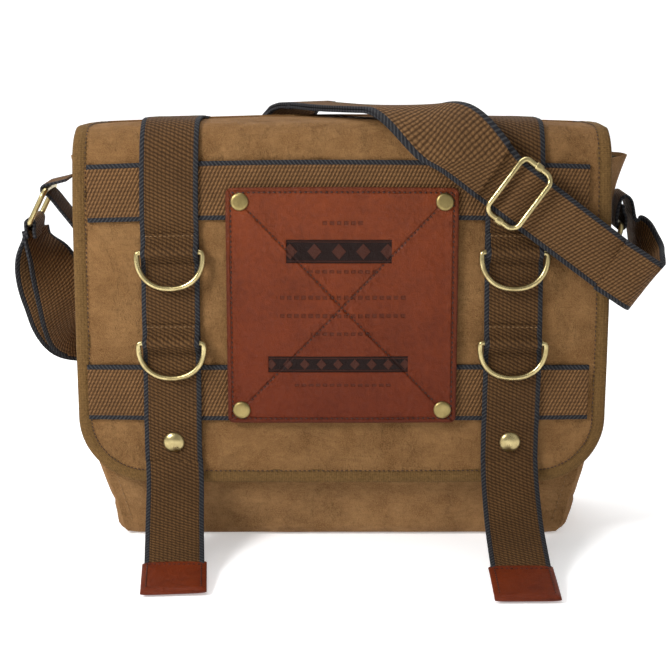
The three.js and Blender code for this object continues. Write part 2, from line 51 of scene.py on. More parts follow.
def smooth(t):
    t = min(1.0, max(0.0, t))
    return t * t * (3 - 2 * t)


def clamp(t):
    return min(1.0, max(0.0, t))


# The camera stands a little above the bag and looks 12 degrees down, through a long lens.
print("camera, floor and lights")
view = {"place": (-0.0046, -1.091, 0.3625), "down": 12, "lens": 86.1}
camera = bpy.data.objects.new("camera", bpy.data.cameras.new("camera"))
camera.data.lens = view["lens"]
camera.data.sensor_width = 36
camera.location = view["place"]
camera.rotation_euler = (math.radians(90 - view["down"]), 0, 0)
scene.collection.objects.link(camera)
scene.camera = camera

studio = {
    "world": 0.36,
    "key": {"place": (-0.85, -0.7, 0.85), "size": 0.4, "power": 15},
    "fill": {"place": (1.3, -0.9, 0.8), "size": 1.2, "power": 1.5},
    "top": {"place": (-0.1, 0.35, 1.6), "size": 1.0, "power": 12},
}


def areaLight(name, place, size, power):
    lamp = bpy.data.lights.new(name, "AREA")
    lamp.size = size
    lamp.energy = power
    light = bpy.data.objects.new(name, lamp)
    light.location = place
    aim = Vector((0, 0, 0.14)) - Vector(place)
    light.rotation_euler = aim.to_track_quat("-Z", "Y").to_euler()
    scene.collection.objects.link(light)


for name in ("key", "fill", "top"):
    areaLight(name + "_light", **studio[name])

world = bpy.data.worlds.new("studio")
world.use_nodes = True
world.node_tree.nodes["Background"].inputs["Color"].default_value = (1, 1, 1, 1)
world.node_tree.nodes["Background"].inputs["Strength"].default_value = studio["world"]
scene.world = world
scene.view_settings.view_transform = "Standard"


# Wraps one output socket, so that a sum or product on it adds its Math node.
class Shade:
    def __init__(self, finish, socket):
        self.finish = finish
        self.socket = socket

    def maths(self, operation, *values):
        made = self.finish.nodes.new("ShaderNodeMath")
        made.operation = operation
        for index, value in enumerate(values):
            self.finish.feed(made.inputs[index], value)
        return Shade(self.finish, made.outputs[0])

    def __add__(self, other):
        return self.maths("ADD", self, other)

    def __sub__(self, other):
        return self.maths("SUBTRACT", self, other)

    def __rsub__(self, other):
        return self.maths("SUBTRACT", other, self)

    def __mul__(self, other):
        return self.maths("MULTIPLY", self, other)

    def __truediv__(self, other):
        return self.maths("DIVIDE", self, other)

    __radd__ = __add__
    __rmul__ = __mul__

    def sine(self):
        return self.maths("SINE", self)

    def size(self):
        return self.maths("ABSOLUTE", self)

    def least(self, other):
        return self.maths("MINIMUM", self, other)

    def most(self, other):
        return self.maths("MAXIMUM", self, other)

    def within(self, edge, soft):
        # 1 where the value is under edge, 0 past it, over a soft step.
        return self.finish.node(
            "ShaderNodeMapRange",
            {"clamp": True},
            {"Value": self, "From Min": edge - soft, "From Max": edge + soft, "To Min": 1.0, "To Max": 0.0},
        )


class Finish:
    def __init__(self, name, **surface):
        self.material = bpy.data.materials.new(name)
        self.material.use_nodes = True
        self.nodes = self.material.node_tree.nodes
        self.links = self.material.node_tree.links
        self.shader = self.nodes["Principled BSDF"]
        for key, value in surface.items():
            self.feed(self.shader.inputs[key.replace("_", " ").title().replace("Ior", "IOR")], value)
        place = self.nodes.new("ShaderNodeTexCoord")
        self.object = Shade(self, place.outputs["Object"])
        self.uv = Shade(self, place.outputs["UV"])

    def feed(self, socket, value):
        if isinstance(value, Shade):
            self.links.new(value.socket, socket)
        else:
            socket.default_value = value

    def node(self, kind, settings, values, output=0):
        made = self.nodes.new(kind)
        for key, value in settings.items():
            setattr(made, key, value)
        for key, value in values.items():
            self.feed(made.inputs[key], value)
        return Shade(self, made.outputs[output])

    def split(self, vector):
        made = self.node("ShaderNodeSeparateXYZ", {}, {"Vector": vector})
        return [Shade(self, made.socket.node.outputs[axis]) for axis in range(3)]

    def mix(self, factor, a, b):
        settings = {"data_type": "RGBA", "blend_type": "MIX"}
        return self.node("ShaderNodeMix", settings, {0: factor, 6: a, 7: b}, output=2)

    def cloud(self, scale, detail=4.0, rough=0.55, stretch=(1, 1, 1), low=0.3, high=0.7):
        # Soft noise spread to the whole of 0 to 1; scale is in features per metre.
        turned = self.node(
            "ShaderNodeMapping",
            {},
            {"Vector": self.object, "Scale": stretch},
        )
        grain = self.node(
            "ShaderNodeTexNoise",
            {},
            {"Vector": turned, "Scale": scale, "Detail": detail, "Roughness": rough},
        )
        settings = {"clamp": True}
        return self.node("ShaderNodeMapRange", settings, {"Value": grain, "From Min": low, "From Max": high})

    def relief(self, *layers):
        # Each layer is a height from 0 to 1 with how deep it is in metres.
        normal = None
        for height, depth in layers:
            values = {"Height": height, "Distance": depth, "Strength": 1.0}
            if normal:
                values["Normal"] = normal
            normal = self.node("ShaderNodeBump", {}, values)
        self.feed(self.shader.inputs["Normal"], normal)

    def paint(self, colour, roughness=None):
        for key, value in (("Base Color", colour), ("Roughness", roughness)):
            if value is not None:
                self.feed(self.shader.inputs[key], value)


def tint(red, green, blue):
    # A screen colour, 0 to 255, as the linear one that the shader wants.
    linear = [(c / 255 / 12.92) if c < 10 else ((c / 255 + 0.055) / 1.055) ** 2.4 for c in (red, green, blue)]
    return (*linear, 1.0)


print("finishes")
canvasLook = {
    "light": (144, 108, 68),
    "mid": (114, 80, 46),
    "dark": (86, 56, 29),
    "thread": 0.0011,
    "weaveDepth": 0.00012,
}


def canvasFinish(name, light, mid, dark):
    # Waxed cotton: a plain weave under a mottled finish that pales where the cloth has been folded.
    cloth = Finish(name, roughness=0.82, specular_ior_level=0.12)
    x, y, z = cloth.split(cloth.object)
    turn = 2 * math.pi / canvasLook["thread"]
    weft = (z * turn).sine()
    warp = ((x + y * 0.7) * turn).sine()
    weave = (weft * warp) * 0.5 + 0.5
    broad = cloth.cloud(13, detail=3)
    patchy = cloth.cloud(55, detail=6, rough=0.65, low=0.33, high=0.68)
    slubs = cloth.cloud(420, detail=3, stretch=(0.35, 1, 1), low=0.35, high=0.7)
    specks = cloth.cloud(1500, detail=2, low=0.35, high=0.66)
    creases = cloth.cloud(28, detail=8, rough=0.72, stretch=(1, 1, 0.6), low=0.44, high=0.5)
    ridge = creases * (1 - creases) * 4
    colour = cloth.mix(broad, dark, mid)
    colour = cloth.mix(patchy * 0.75, colour, light)
    colour = cloth.mix(ridge * patchy * 0.35, colour, light)
    colour = cloth.mix(slubs * 0.42, colour, dark)
    colour = cloth.mix(specks * 0.6, colour, light)
    cloth.paint(colour, roughness=0.93 - patchy * 0.14)
    cloth.relief(
        (weave, canvasLook["weaveDepth"]),
        (specks, 0.00018),
        (slubs, 0.00022),
        (creases, 0.0005),
        (patchy, 0.0009),
    )
    return cloth.material


canvas = canvasFinish("waxed_canvas", *[tint(*canvasLook[k]) for k in ("light", "mid", "dark")])
bodyCanvas = canvasFinish("body_canvas", tint(152, 116, 76), tint(122, 86, 51), tint(88, 58, 31))

webbingLook = {
    "pale": (148, 110, 70),
    "mid": (106, 75, 44),
    "deep": (46, 28, 12),
    "cell": 0.0024,
    "row": 0.0026,
    "edgeCord": (30, 30, 34),
    "edgeFleck": (92, 92, 92),
}


def webbingFinish(name, pale, mid, deep, width, slant=1):
    # UV is in metres: across the webbing, then along it. The cells of the twill run on a slant.
    tape = Finish(name, roughness=0.8, specular_ior_level=0.15)
    u, v, _ = tape.split(tape.uv)
    turn = 2 * math.pi / webbingLook["cell"]
    loose = tape.cloud(260, detail=2, low=0.2, high=0.8) * 0.0007
    # Rows run along the webbing; each holds short slanted strokes, half a stroke on from the next row's.
    rows = (u + loose * 0.4) * (1 / webbingLook["row"])
    row = tape.node("ShaderNodeMath", {"operation": "FLOOR"}, {0: rows})
    inRow = rows - row
    stroke = ((v + loose) * turn + (inRow * 0.5 * slant + row * 0.5) * (2 * math.pi)).sine()
    ridge = (inRow * math.pi).sine()
    cells = ((stroke * 0.42 + 0.58) * (ridge * 0.6 + 0.4)).most(0.0).least(1.0)
    fuzz = tape.cloud(1100, detail=3, low=0.3, high=0.7)
    drift = tape.cloud(30, detail=4, low=0.3, high=0.7)
    colour = tape.mix(cells, deep, mid)
    colour = tape.mix(cells * (fuzz * 0.7 + 0.3) * 0.8, colour, pale)
    colour = tape.mix(drift * 0.3, colour, deep)
    height = cells * 0.85 + fuzz * 0.15
    # A dark cord along each edge, with faint flecks in it.
    inset = (u - width / 2).size() * -1 + width / 2
    cordMask = inset.within(0.0031, 0.00025)
    fleck = ((v + inset * 0.8) * (2 * math.pi / 0.0026)).sine()
    flecks = fleck.within(-0.3, 0.4)
    dark = tape.mix(flecks * 0.3, tint(*webbingLook["edgeCord"]), tint(*webbingLook["edgeFleck"]))
    groove = (inset - 0.0031).size().within(0.0003, 0.0002)
    colour = tape.mix(cordMask, colour, dark)
    height = height * (1 - cordMask) + cordMask * (flecks * 0.25 + 0.75) - groove * 0.5
    tape.paint(colour, roughness=0.9 - cells * 0.2)
    tape.relief((height, 0.0007), (fuzz, 0.00015))
    return tape.material


webTones = [tint(*webbingLook[key]) for key in ("pale", "mid", "deep")]
webbing = webbingFinish("webbing", *webTones, width=0.038)
flapTones = [tint(124, 90, 52), tint(86, 58, 31), tint(40, 24, 10)]
flapWebbing = webbingFinish("flap_webbing", *flapTones, width=0.038)
bandTones = [tint(158, 116, 74), tint(110, 78, 46), tint(48, 30, 14)]
bandWebbing = webbingFinish("band_webbing", *bandTones, width=0.038, slant=-1)
anchorWebbing = webbingFinish("anchor_webbing", *webTones, width=0.036)


def bindingFinish():
    tape = Finish("binding_tape", roughness=0.86, specular_ior_level=0.15)
    u, v, _ = tape.split(tape.uv)
    ribs = (v * (2 * math.pi / 0.0012)).sine() * 0.5 + 0.5
    rows = (u * (2 * math.pi / 0.0015)).sine() * 0.5 + 0.5
    fuzz = tape.cloud(700, detail=3)
    drift = tape.cloud(24, detail=4)
    colour = tape.mix(ribs * 0.25 + fuzz * 0.6, tint(84, 60, 30), tint(124, 94, 54))
    colour = tape.mix(drift * 0.35, colour, tint(88, 66, 38))
    tape.paint(colour, roughness=0.9 - ribs * 0.1)
    tape.relief((ribs * 0.5 + rows * 0.5, 0.0002), (fuzz, 0.0003), (drift, 0.0006))
    return tape.material


binding = bindingFinish()

patch = {
    "width": 150,
    "height": 156,
    "centre": 164,
    "thick": 2,
    "corner": 4,
    "stitchInset": 3.2,
    "stitchPitch": 3.3,
    "crossPitch": 2.9,
    "upperBar": {"x": -2, "z": 200.5, "halfWidth": 34, "halfHeight": 7.5},
    "lowerBar": {"x": -2.5, "z": 126, "halfWidth": 45.5, "halfHeight": 5.2},
    "rivets": {"x": 66, "top": 233, "foot": 95},
    # Rows of dashes: height, half width and half height of each.
    "rows": (
        (219, 14, 2.2),
        (187.5, 22, 1.8),
        (170.5, 42, 2.2),
        (158.5, 42, 2.2),
        (146.5, 20, 1.8),
        (112, 32, 1.6),
    ),
}


def leatherFinish(name, light, mid, dark):
    hide = Finish(name, roughness=0.4, specular_ior_level=0.15)
    pores = hide.node(
        "ShaderNodeTexVoronoi",
        {"feature": "DISTANCE_TO_EDGE"},
        {"Vector": hide.object, "Scale": 1100.0},
    )
    grain = pores.within(0.1, 0.08)
    cloudy = hide.cloud(26, detail=5, rough=0.6)
    fine = hide.cloud(240, detail=4)
    colour = hide.mix(cloudy, dark, mid)
    colour = hide.mix(fine * 0.4, colour, light)
    return hide, colour, grain, cloudy, fine


def plainLeather():
    hide, colour, grain, cloudy, fine = leatherFinish(
        "leather", tint(130, 52, 16), tint(108, 40, 10), tint(80, 25, 6)
    )
    colour = hide.mix(grain * 0.3, colour, tint(70, 30, 16))
    hide.paint(colour, roughness=0.46 - cloudy * 0.1)
    hide.relief((grain * -1, 0.00012), (fine, 0.0002), (cloudy, 0.0006))
    return hide.material


def patchLeather():
    # The patch is pressed: two dark bars with a plain row of lozenges, and faint rows of short dashes.
    hide, colour, grain, cloudy, fine = leatherFinish(
        "patch_leather", tint(132, 58, 20), tint(106, 40, 8), tint(74, 24, 4)
    )
    x, _, z = hide.split(hide.object)
    top = (patch["centre"] + patch["height"] / 2) * mm
    low = (patch["centre"] - patch["height"] / 2) * mm
    # Painted light: the leather is painted darker towards its foot as painted shade, and lighter and greyer
    # towards its head as a painted reflection. Its edges are darker, burnished.
    fall = hide.node("ShaderNodeMapRange", {}, {"Value": z, "From Min": low, "From Max": top})
    colour = hide.mix((1 - fall) * 0.6, colour, tint(88, 30, 8))
    colour = hide.mix(fall * 0.2, colour, tint(136, 76, 46))
    fromSide = x.size() * -1 + patch["width"] / 2 * mm
    edge = fromSide.least(((z - patch["centre"] * mm).size()) * -1 + patch["height"] / 2 * mm)
    rim = edge.within(0.0016, 0.0012)
    colour = hide.mix(rim * 0.6, colour, tint(66, 28, 15))
    pressed = None
    ornament = None
    for bar in (patch["upperBar"], patch["lowerBar"]):
        dx = (x - bar["x"] * mm).size()
        dz = (z - bar["z"] * mm).size()
        inside = (dx - bar["halfWidth"] * mm).most(dz - bar["halfHeight"] * mm).within(0, 0.00025)
        step = bar["halfHeight"] * 2.1 * mm
        cell = hide.node(
            "ShaderNodeMath",
            {"operation": "PINGPONG"},
            {0: dx, 1: step / 2},
        )
        lozenge = (cell + dz * 0.9).within(0.3 * step, 0.0002)
        line = (dz - (bar["halfHeight"] - 1.3) * mm).size().within(0.0003, 0.00015)
        motif = lozenge.most(line) * inside
        pressed = inside if pressed is None else pressed.most(inside)
        ornament = motif if ornament is None else ornament.most(motif)
    dashes = None
    for height, halfWidth, halfHeight in patch["rows"]:
        dz = (z - height * mm).size()
        dash = hide.node("ShaderNodeMath", {"operation": "PINGPONG"}, {0: x + 1.0, 1: 0.0023})
        along = dash.within(0.0014, 0.0002)
        inside = dz.within(halfHeight * mm * 0.55, 0.0002) * x.size().within(halfWidth * mm, 0.0004)
        mark = along * inside
        dashes = mark if dashes is None else dashes.most(mark)
    colour = hide.mix(dashes * 0.5, colour, tint(60, 28, 17))
    colour = hide.mix(pressed * 0.97, colour, tint(20, 9, 7))
    colour = hide.mix(ornament * 0.4, colour, tint(96, 52, 38))
    # The needle pulls the leather down along its stitch lines.
    rivets = patch["rivets"]
    slope = (rivets["top"] - rivets["foot"]) / (2 * rivets["x"])
    reach = math.hypot(slope, 1)
    up = z - patch["centre"] * mm
    cross = (up - x * slope).size().least((up + x * slope).size()) / reach
    fromStitch = (edge - patch["stitchInset"] * mm).size()
    groove = cross.within(0.0007, 0.0006).most(fromStitch.within(0.0006, 0.0005))
    # The stitch grooves are also painted darker: painted shade in them.
    colour = hide.mix(groove * 0.25, colour, tint(54, 20, 10))
    hide.paint(colour, roughness=0.4 - cloudy * 0.1 + pressed * 0.16)
    # Small puckers stand beside the stitching.
    beside = cross.within(0.0042, 0.0035).most(fromStitch.within(0.003, 0.0025))
    pucker = hide.cloud(210, detail=2, low=0.3, high=0.7) * beside
    hide.relief(
        (grain * -1, 0.00012),
        (fine, 0.0002),
        (cloudy, 0.0008),
        (pucker, 0.0007),
        (groove * -1, 0.0007),
        (pressed * -1 + ornament * 0.6 - dashes * 0.7, 0.0007),
    )
    return hide.material


leather = plainLeather()
pressedLeather = patchLeather()


def brassFinish(name, bright, dull, roughness):
    metal = Finish(name, metallic=1.0, roughness=roughness)
    tarnish = metal.cloud(160, detail=5, rough=0.6)
    scuffs = metal.cloud(1400, detail=3, stretch=(1, 1, 0.3))
    metal.paint(metal.mix(tarnish * 0.6, bright, dull), roughness=roughness + tarnish * 0.12 + scuffs * 0.05)
    metal.relief((scuffs, 0.00004), (tarnish, 0.00008))
    return metal.material


brass = brassFinish("antique_brass", tint(206, 190, 138), tint(132, 112, 70), 0.22)
capBrass = brassFinish("cap_brass", tint(164, 146, 96), tint(106, 90, 52), 0.34)


def threadFinish(name, shade, pale):
    strand = Finish(name, roughness=0.7)
    twist = strand.cloud(1800, detail=2)
    strand.paint(strand.mix(twist, tint(*shade), tint(*pale)))
    strand.relief((twist, 0.0001))
    return strand.material


darkThread = threadFinish("dark_thread", (30, 13, 8), (62, 30, 18))
tanThread = threadFinish("tan_thread", (104, 76, 44), (150, 116, 74))

liningCloth = canvasFinish("lining_cloth", tint(92, 84, 60), tint(70, 63, 43), tint(46, 41, 28))


def boardFinish():
    board = Finish("board", roughness=0.9)
    grain = board.cloud(300, detail=5, stretch=(0.3, 1, 1))
    board.paint(board.mix(grain, tint(58, 52, 45), tint(84, 76, 66)))
    board.relief((grain, 0.0002))
    return board.material


def refinish(node, material):
    # A carried-over part keeps its shape and gets a better surface.
    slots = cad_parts[node].data.materials
    slots.clear()
    slots.append(material)


refinish("base_stiffener", boardFinish())


# How pieces are made.

def keep(name, build, material, body=None, standsFor=(), slot=None):
    # The finished bmesh as an object at the origin, riding on its body.
    mesh = bpy.data.meshes.new(name)
    build.to_mesh(mesh)
    build.free()
    piece = bpy.data.objects.new(name, mesh)
    scene.collection.objects.link(piece)
    mesh.materials.append(material)
    mesh.polygons.foreach_set("use_smooth", [True] * len(mesh.polygons))
    if body:
        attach(piece, body)
    if standsFor:
        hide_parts(*standsFor)
    return piece


def thicken(piece, thick, offset=0.0, edge=0.35):
    # Gives a sheet its thickness and takes the sharpness off its cut edges.
    solid = piece.modifiers.new("thickness", "SOLIDIFY")
    solid.thickness = thick * mm
    solid.offset = offset
    if edge:
        rounding = piece.modifiers.new("soft edge", "BEVEL")
        rounding.width = edge * mm
        rounding.segments = 2
        rounding.limit_method = "ANGLE"
        rounding.angle_limit = math.radians(50)
    return piece


def gridAlong(across, along, place, size, closed=False, begin=0):
    # A grid whose points go where place(u, v) says, in millimetres; its UV is (across, along) in metres.
    build = bmesh.new()
    bmesh.ops.create_grid(build, x_segments=across, y_segments=along, size=0.5)
    layer = build.loops.layers.uv.new("length")
    for face in build.faces:
        for loop in face.loops:
            where = loop.vert.co
            loop[layer].uv = ((where.x + 0.5) * size[0] * mm, ((where.y + 0.5) * size[1] + begin) * mm)
    for vert in build.verts:
        vert.co = Vector(place(vert.co.x + 0.5, vert.co.y + 0.5)) * mm
    if closed:
        bmesh.ops.remove_doubles(build, verts=build.verts, dist=1e-6)
        bmesh.ops.holes_fill(build, edges=[e for e in build.edges if e.is_boundary], sides=0)
        bmesh.ops.recalc_face_normals(build, faces=build.faces)
    return build


def smoothPath(points, steps):
    # Evenly spaced points on a soft curve through the given ones.
    ends = [points[0] * 2 - points[1], *points, points[-1] * 2 - points[-2]]
    fine = []
    for a, b, c, d in zip(ends, ends[1:], ends[2:], ends[3:]):
        ab, bc, cd = [max(1e-4, (q - p).length) ** 0.5 for p, q in ((a, b), (b, c), (c, d))]
        leave = ((b - a) / ab - (c - a) / (ab + bc) + (c - b) / bc) * bc
        arrive = ((c - b) / bc - (d - b) / (bc + cd) + (d - c) / cd) * bc
        fine += geometry.interpolate_bezier(b, b + leave / 3, c - arrive / 3, c, 24)[:-1]
    fine.append(points[-1])
    travelled = [0.0]
    for a, b in zip(fine, fine[1:]):
        travelled.append(travelled[-1] + (b - a).length)
    even = []
    at = 0
    for step in range(steps + 1):
        target = travelled[-1] * step / steps
        while at < len(fine) - 2 and travelled[at + 1] < target:
            at += 1
        share = (target - travelled[at]) / max(1e-9, travelled[at + 1] - travelled[at])
        even.append(fine[at].lerp(fine[at + 1], clamp(share)))
    return even, travelled[-1]


ribbonCells = 8  # across the webbing


def ribbon(name, points, wides, width, thick, steps, material, rows=None, reach=4, begin=0, **how):
    # Webbing along a path, its width lying in the directions given at the same points.
    path, length = smoothPath([Vector(p) for p in points], steps)
    spans = [0.0]
    for a, b in zip(points, points[1:]):
        spans.append(spans[-1] + (Vector(b) - Vector(a)).length)

    def wideAt(v):
        # The width's direction belongs to the path's own points, wherever they fall along it.
        target = v * spans[-1]
        index = max(i for i in range(len(spans) - 1) if spans[i] <= target + 1e-9)
        share = (target - spans[index]) / (spans[index + 1] - spans[index])
        return Vector(wides[index]).lerp(Vector(wides[index + 1]), smooth(share))

    def acrossPath(i, wide):
        along = (path[min(i + 1, steps)] - path[max(i - 1, 0)]).normalized()
        return along, (wide - along * wide.dot(along)).normalized()

    # Evened out over a few steps, so that a twist in the webbing turns softly.
    turns = [acrossPath(i, wideAt(i / steps))[1] for i in range(steps + 1)]
    for _ in range(2):
        near = [turns[max(0, i - reach) : i + reach + 1] for i in range(steps + 1)]
        turns = [sum(group, Vector()).normalized() for group in near]

    def place(u, v):
        i = round(v * steps)
        along, wide = acrossPath(i, turns[i])
        out = wide.cross(along)
        bow = (rows(u, v) if rows else 0.0)
        return path[i] + wide * (0.5 - u) * width + out * bow

    build = gridAlong(ribbonCells, steps, place, (width, length), begin=begin)
    return thicken(keep(name, build, material, **how), thick)


def wireThrough(name, points, radius, material, closed=True, **how):
    # A round wire through points in millimetres, as a bevelled curve made into a mesh.
    line = bpy.data.curves.new(name, "CURVE")
    line.dimensions = "3D"
    line.bevel_depth = radius * mm
    line.bevel_resolution = 6
    line.use_fill_caps = not closed
    spline = line.splines.new("POLY")
    spline.points.add(len(points) - 1)
    for target, point in zip(spline.points, points):
        target.co = (*(Vector(point) * mm), 1)
    spline.use_cyclic_u = closed
    helper = bpy.data.objects.new(name + "_line", line)
    scene.collection.objects.link(helper)
    bpy.context.view_layer.update()
    mesh = bpy.data.meshes.new_from_object(helper.evaluated_get(bpy.context.evaluated_depsgraph_get()))
    bpy.data.objects.remove(helper)
    build = bmesh.new()
    build.from_mesh(mesh)
    bmesh.ops.remove_doubles(build, verts=build.verts, dist=1e-6)
    bmesh.ops.recalc_face_normals(build, faces=build.faces)
    return keep(name, build, material, **how)


def turned(name, profile, matrix, material, steps=32, **how):
    # A cap spun from its outline, [radius, height] in millimetres, then set in place.
    build = bmesh.new()
    verts = [build.verts.new((r * mm, 0, h * mm)) for r, h in profile]
    edges = [build.edges.new(pair) for pair in zip(verts, verts[1:])]
    bmesh.ops.spin(
        build,
        geom=[*verts, *edges],
        cent=(0, 0, 0),
        axis=(0, 0, 1),
        angle=2 * math.pi,
        steps=steps,
        use_merge=True,
        use_duplicate=False,
    )
    bmesh.ops.remove_doubles(build, verts=build.verts, dist=1e-6)
    bmesh.ops.recalc_face_normals(build, faces=build.faces)
    bmesh.ops.transform(build, matrix=matrix, verts=build.verts)
    return keep(name, build, material, **how)


def stitchRow(name, places, length, width, material, **how):
    # One short thread for each place: its middle, the way it lies and the way out of the cloth.
    build = bmesh.new()
    for middle, along, out in places:
        along = along.normalized()
        side = out.cross(along).normalized()
        basis = Matrix((side, along, side.cross(along))).transposed().to_4x4()
        size = Matrix.Diagonal((width / 2 * mm, length / 2 * mm, width / 2 * mm, 1))
        bmesh.ops.create_icosphere(
            build,
            subdivisions=1,
            radius=1,
            matrix=Matrix.Translation(middle * mm) @ basis @ size,
        )
    return keep(name, build, material, **how)


# The flap's own surface.

flap = {
    "hingeY": 50,
    "hingeZ": 277,
    "top": 92,
    "bend": 20,
    "front": 218,
    "halfWidth": 175,
    "corner": 44,
    "crown": 5,
    "sweep": 8,
    "bow": 4,
}
bendLength = math.pi / 2 * flap["bend"]
flapLength = flap["top"] + bendLength + flap["front"]
topZ = flap["hingeZ"] + 4
endZ = topZ - flap["bend"] - flap["front"]


def ripple(x, s):
    # The soft unevenness that the whole flap shares, with all that is sewn to it.
    where = Vector((x / 95, s / 80, 3.1))
    wave = 1.5 * noise.noise(where) + 0.6 * noise.noise(where * 2.3)
    # Between the two upright webbings the lower edge relaxes inwards a little.
    lower = smooth((s - 250) / 90)
    sag = -1.2 * lower * math.cos(math.pi * min(1, abs(x) / 111)) if abs(x) < 111 else 1.2 * lower
    return wave + sag * 0.6


def onFlap(x, s, h, rippled=1.0):
    # The point x across and s down the flap, h out of its middle surface.
    q = (x / flap["halfWidth"]) ** 2
    if s < flap["top"]:
        y = flap["hingeY"] - s
        z = flap["hingeZ"] + 4 * math.sin(math.pi / 2 * max(s, -20) / flap["top"])
        ny, nz = 0.0, 1.0
    elif s < flap["top"] + bendLength:
        a = (s - flap["top"]) / flap["bend"]
        ny, nz = -math.sin(a), math.cos(a)
        y = flap["hingeY"] - flap["top"] + flap["bend"] * ny
        z = topZ - flap["bend"] + flap["bend"] * nz
    else:
        down = s - flap["top"] - bendLength
        bow = flap["bow"] * math.sin(math.pi * clamp(down / flap["front"]))
        y = flap["hingeY"] - flap["top"] - flap["bend"] - bow
        z = topZ - flap["bend"] - down
        ny, nz = -1.0, 0.0
    fall = clamp(s / (flap["top"] + bendLength))
    drop = flap["crown"] * q * clamp((z - endZ) / (topZ - endZ))
    out = h + rippled * ripple(x, s)
    return Vector((x, y + flap["sweep"] * q * fall + ny * out, z + nz * out - drop))


def sAt(z):
    return flap["top"] + bendLength + topZ - flap["bend"] - z


def outOfFlap(x, s):
    across = onFlap(x + 2, s, 0) - onFlap(x - 2, s, 0)
    down = onFlap(x, s + 2, 0) - onFlap(x, s - 2, 0)
    return down.cross(across).normalized()


def seatOnFlap(x, z, h):
    # A matrix that sets a turned piece on the flap, its own Z pointing out of it and its Y up it.
    s = sAt(z)
    out = outOfFlap(x, s)
    across = (onFlap(x + 2, s, 0) - onFlap(x - 2, s, 0)).normalized()
    up = out.cross(across)
    basis = Matrix((across, up, out)).transposed().to_4x4()
    return Matrix.Translation(onFlap(x, s, h) * mm) @ basis


def flapHalf(s):
    return flap["halfWidth"] - 4 * (1 - smooth(s / 170))


cornerArc = math.pi / 2 * flap["corner"]
sideRun = flapLength - flap["corner"]
edgeRun = 2 * sideRun + 2 * cornerArc + 2 * (flap["halfWidth"] - flap["corner"])


def flapEdge(t, inset):
    # Round the flap's edge: 0 to 1 down its left side, along its foot and up its right side.
    d = t * edgeRun
    sign = -1
    if d > edgeRun / 2:
        sign, d = 1, edgeRun - d
    if d < sideRun:
        return sign * (flapHalf(d) - inset), d
    cx = flap["halfWidth"] - flap["corner"]
    cs = flapLength - flap["corner"]
    r = flap["corner"] - inset
    if d < sideRun + cornerArc:
        a = (d - sideRun) / flap["corner"]
        return sign * (cx + r * math.cos(a)), cs + r * math.sin(a)
    return sign * (cx - (d - sideRun - cornerArc)), flapLength - inset


# The body: one lofted shell of canvas that sags, and the lining inside it.

body = {
    "height": 256,
    "backHeight": 275,
    "baseHalfWidth": 152,
    "mouthHalfWidth": 168,
    "baseHalfDepth": 46,
    "mouthHalfDepth": 50,
    "swell": 5,
    "flareLeft": 15,
    "flareRight": 26,
    "round": 9,
    "seamHeight": 26,
    "cuts": 71,
}


def halfWidthAt(z):
    return body["baseHalfWidth"] + (body["mouthHalfWidth"] - body["baseHalfWidth"]) * clamp(z / 62)


def halfDepthAt(z):
    return body["baseHalfDepth"] + (body["mouthHalfDepth"] - body["baseHalfDepth"]) * smooth(z / 40)


def creases(p):
    # How far the canvas is pushed in or out at a point of the shell, in millimetres.
    x, y, z = p
    low = 1 - smooth(z / 110)
    broad = noise.noise(Vector((x / 60, y / 40, z / 70)))
    fold = noise.noise(Vector((x / 22, y / 20 + 5, z / 48)))
    fine = noise.noise(Vector((x / 9, y / 9 + 9, z / 15)))
    corner = smooth((abs(x) - 95) / 50)
    folds = fold * (0.7 + 1.6 * corner * (0.4 + low))
    return broad * (1.6 + 1.4 * low) + folds + fine * (0.25 + 0.3 * corner)


def shellPoint(cube, inset):
    # From a point of a 2 by 2 by 2 cube to the bag: width, depth and height go with its own axes.
    ux, uy, uz = cube
    back = smooth((uy - 0.8) / 0.2)
    crown = 5 * ux * ux
    height = body["height"] + (body["backHeight"] - crown - body["height"]) * back
    z = (uz + 1) / 2 * (height - 1.4 * inset)
    wide = halfWidthAt(z) - inset
    deep = halfDepthAt(z) - inset
    flat = Vector((ux * wide, uy * deep, z))
    r = max(2.0, body["round"] - inset)
    floor = inset
    core = Vector((
        max(-wide + r, min(wide - r, flat.x)),
        max(-deep + r, min(deep - r, flat.y)),
        max(floor + r, floor + z),
    ))
    flat.z = floor + z
    away = flat - core
    out = away.normalized() if away.length > 1e-6 else Vector((0, 0, 0))
    p = core + out * r if away.length > 1e-6 else flat
    # The front and back swell out, and each gusset stands out in its middle, most at the mouth.
    front = abs(out.y)
    side = abs(out.x)
    rise = smooth(z / 60)
    p.y += math.copysign(body["swell"] * max(0, 1 - (flat.x / wide) ** 2) * rise, flat.y) * front
    flare = body["flareLeft"] if ux < 0 else body["flareRight"]
    bulge = (1 + flare * (z / 256) ** 4) * math.cos(math.pi / 2 * uy) ** 2
    p.x += math.copysign(bulge, ux) * side
    # The foot of each side is drawn in under the bag, and seams pull the cloth down along their lines.
    seam = math.exp(-(((z - body["seamHeight"]) / 1.8) ** 2)) * side
    inFromEdge = wide - abs(flat.x)
    edgeSeam = math.exp(-(((inFromEdge - 8) / 1.6) ** 2)) * front
    edgeSeam -= 0.6 * math.exp(-(((inFromEdge - 4) / 2.2) ** 2)) * front
    push = creases(p) * (0.15 + 0.85 * smooth(z / 14)) * (1 - 0.8 * smooth((z - 225) / 30) * (1 - side))
    p += out * (push - 1.4 * seam - 1.7 * edgeSeam)
    p.z = max(p.z, inset)
    return p


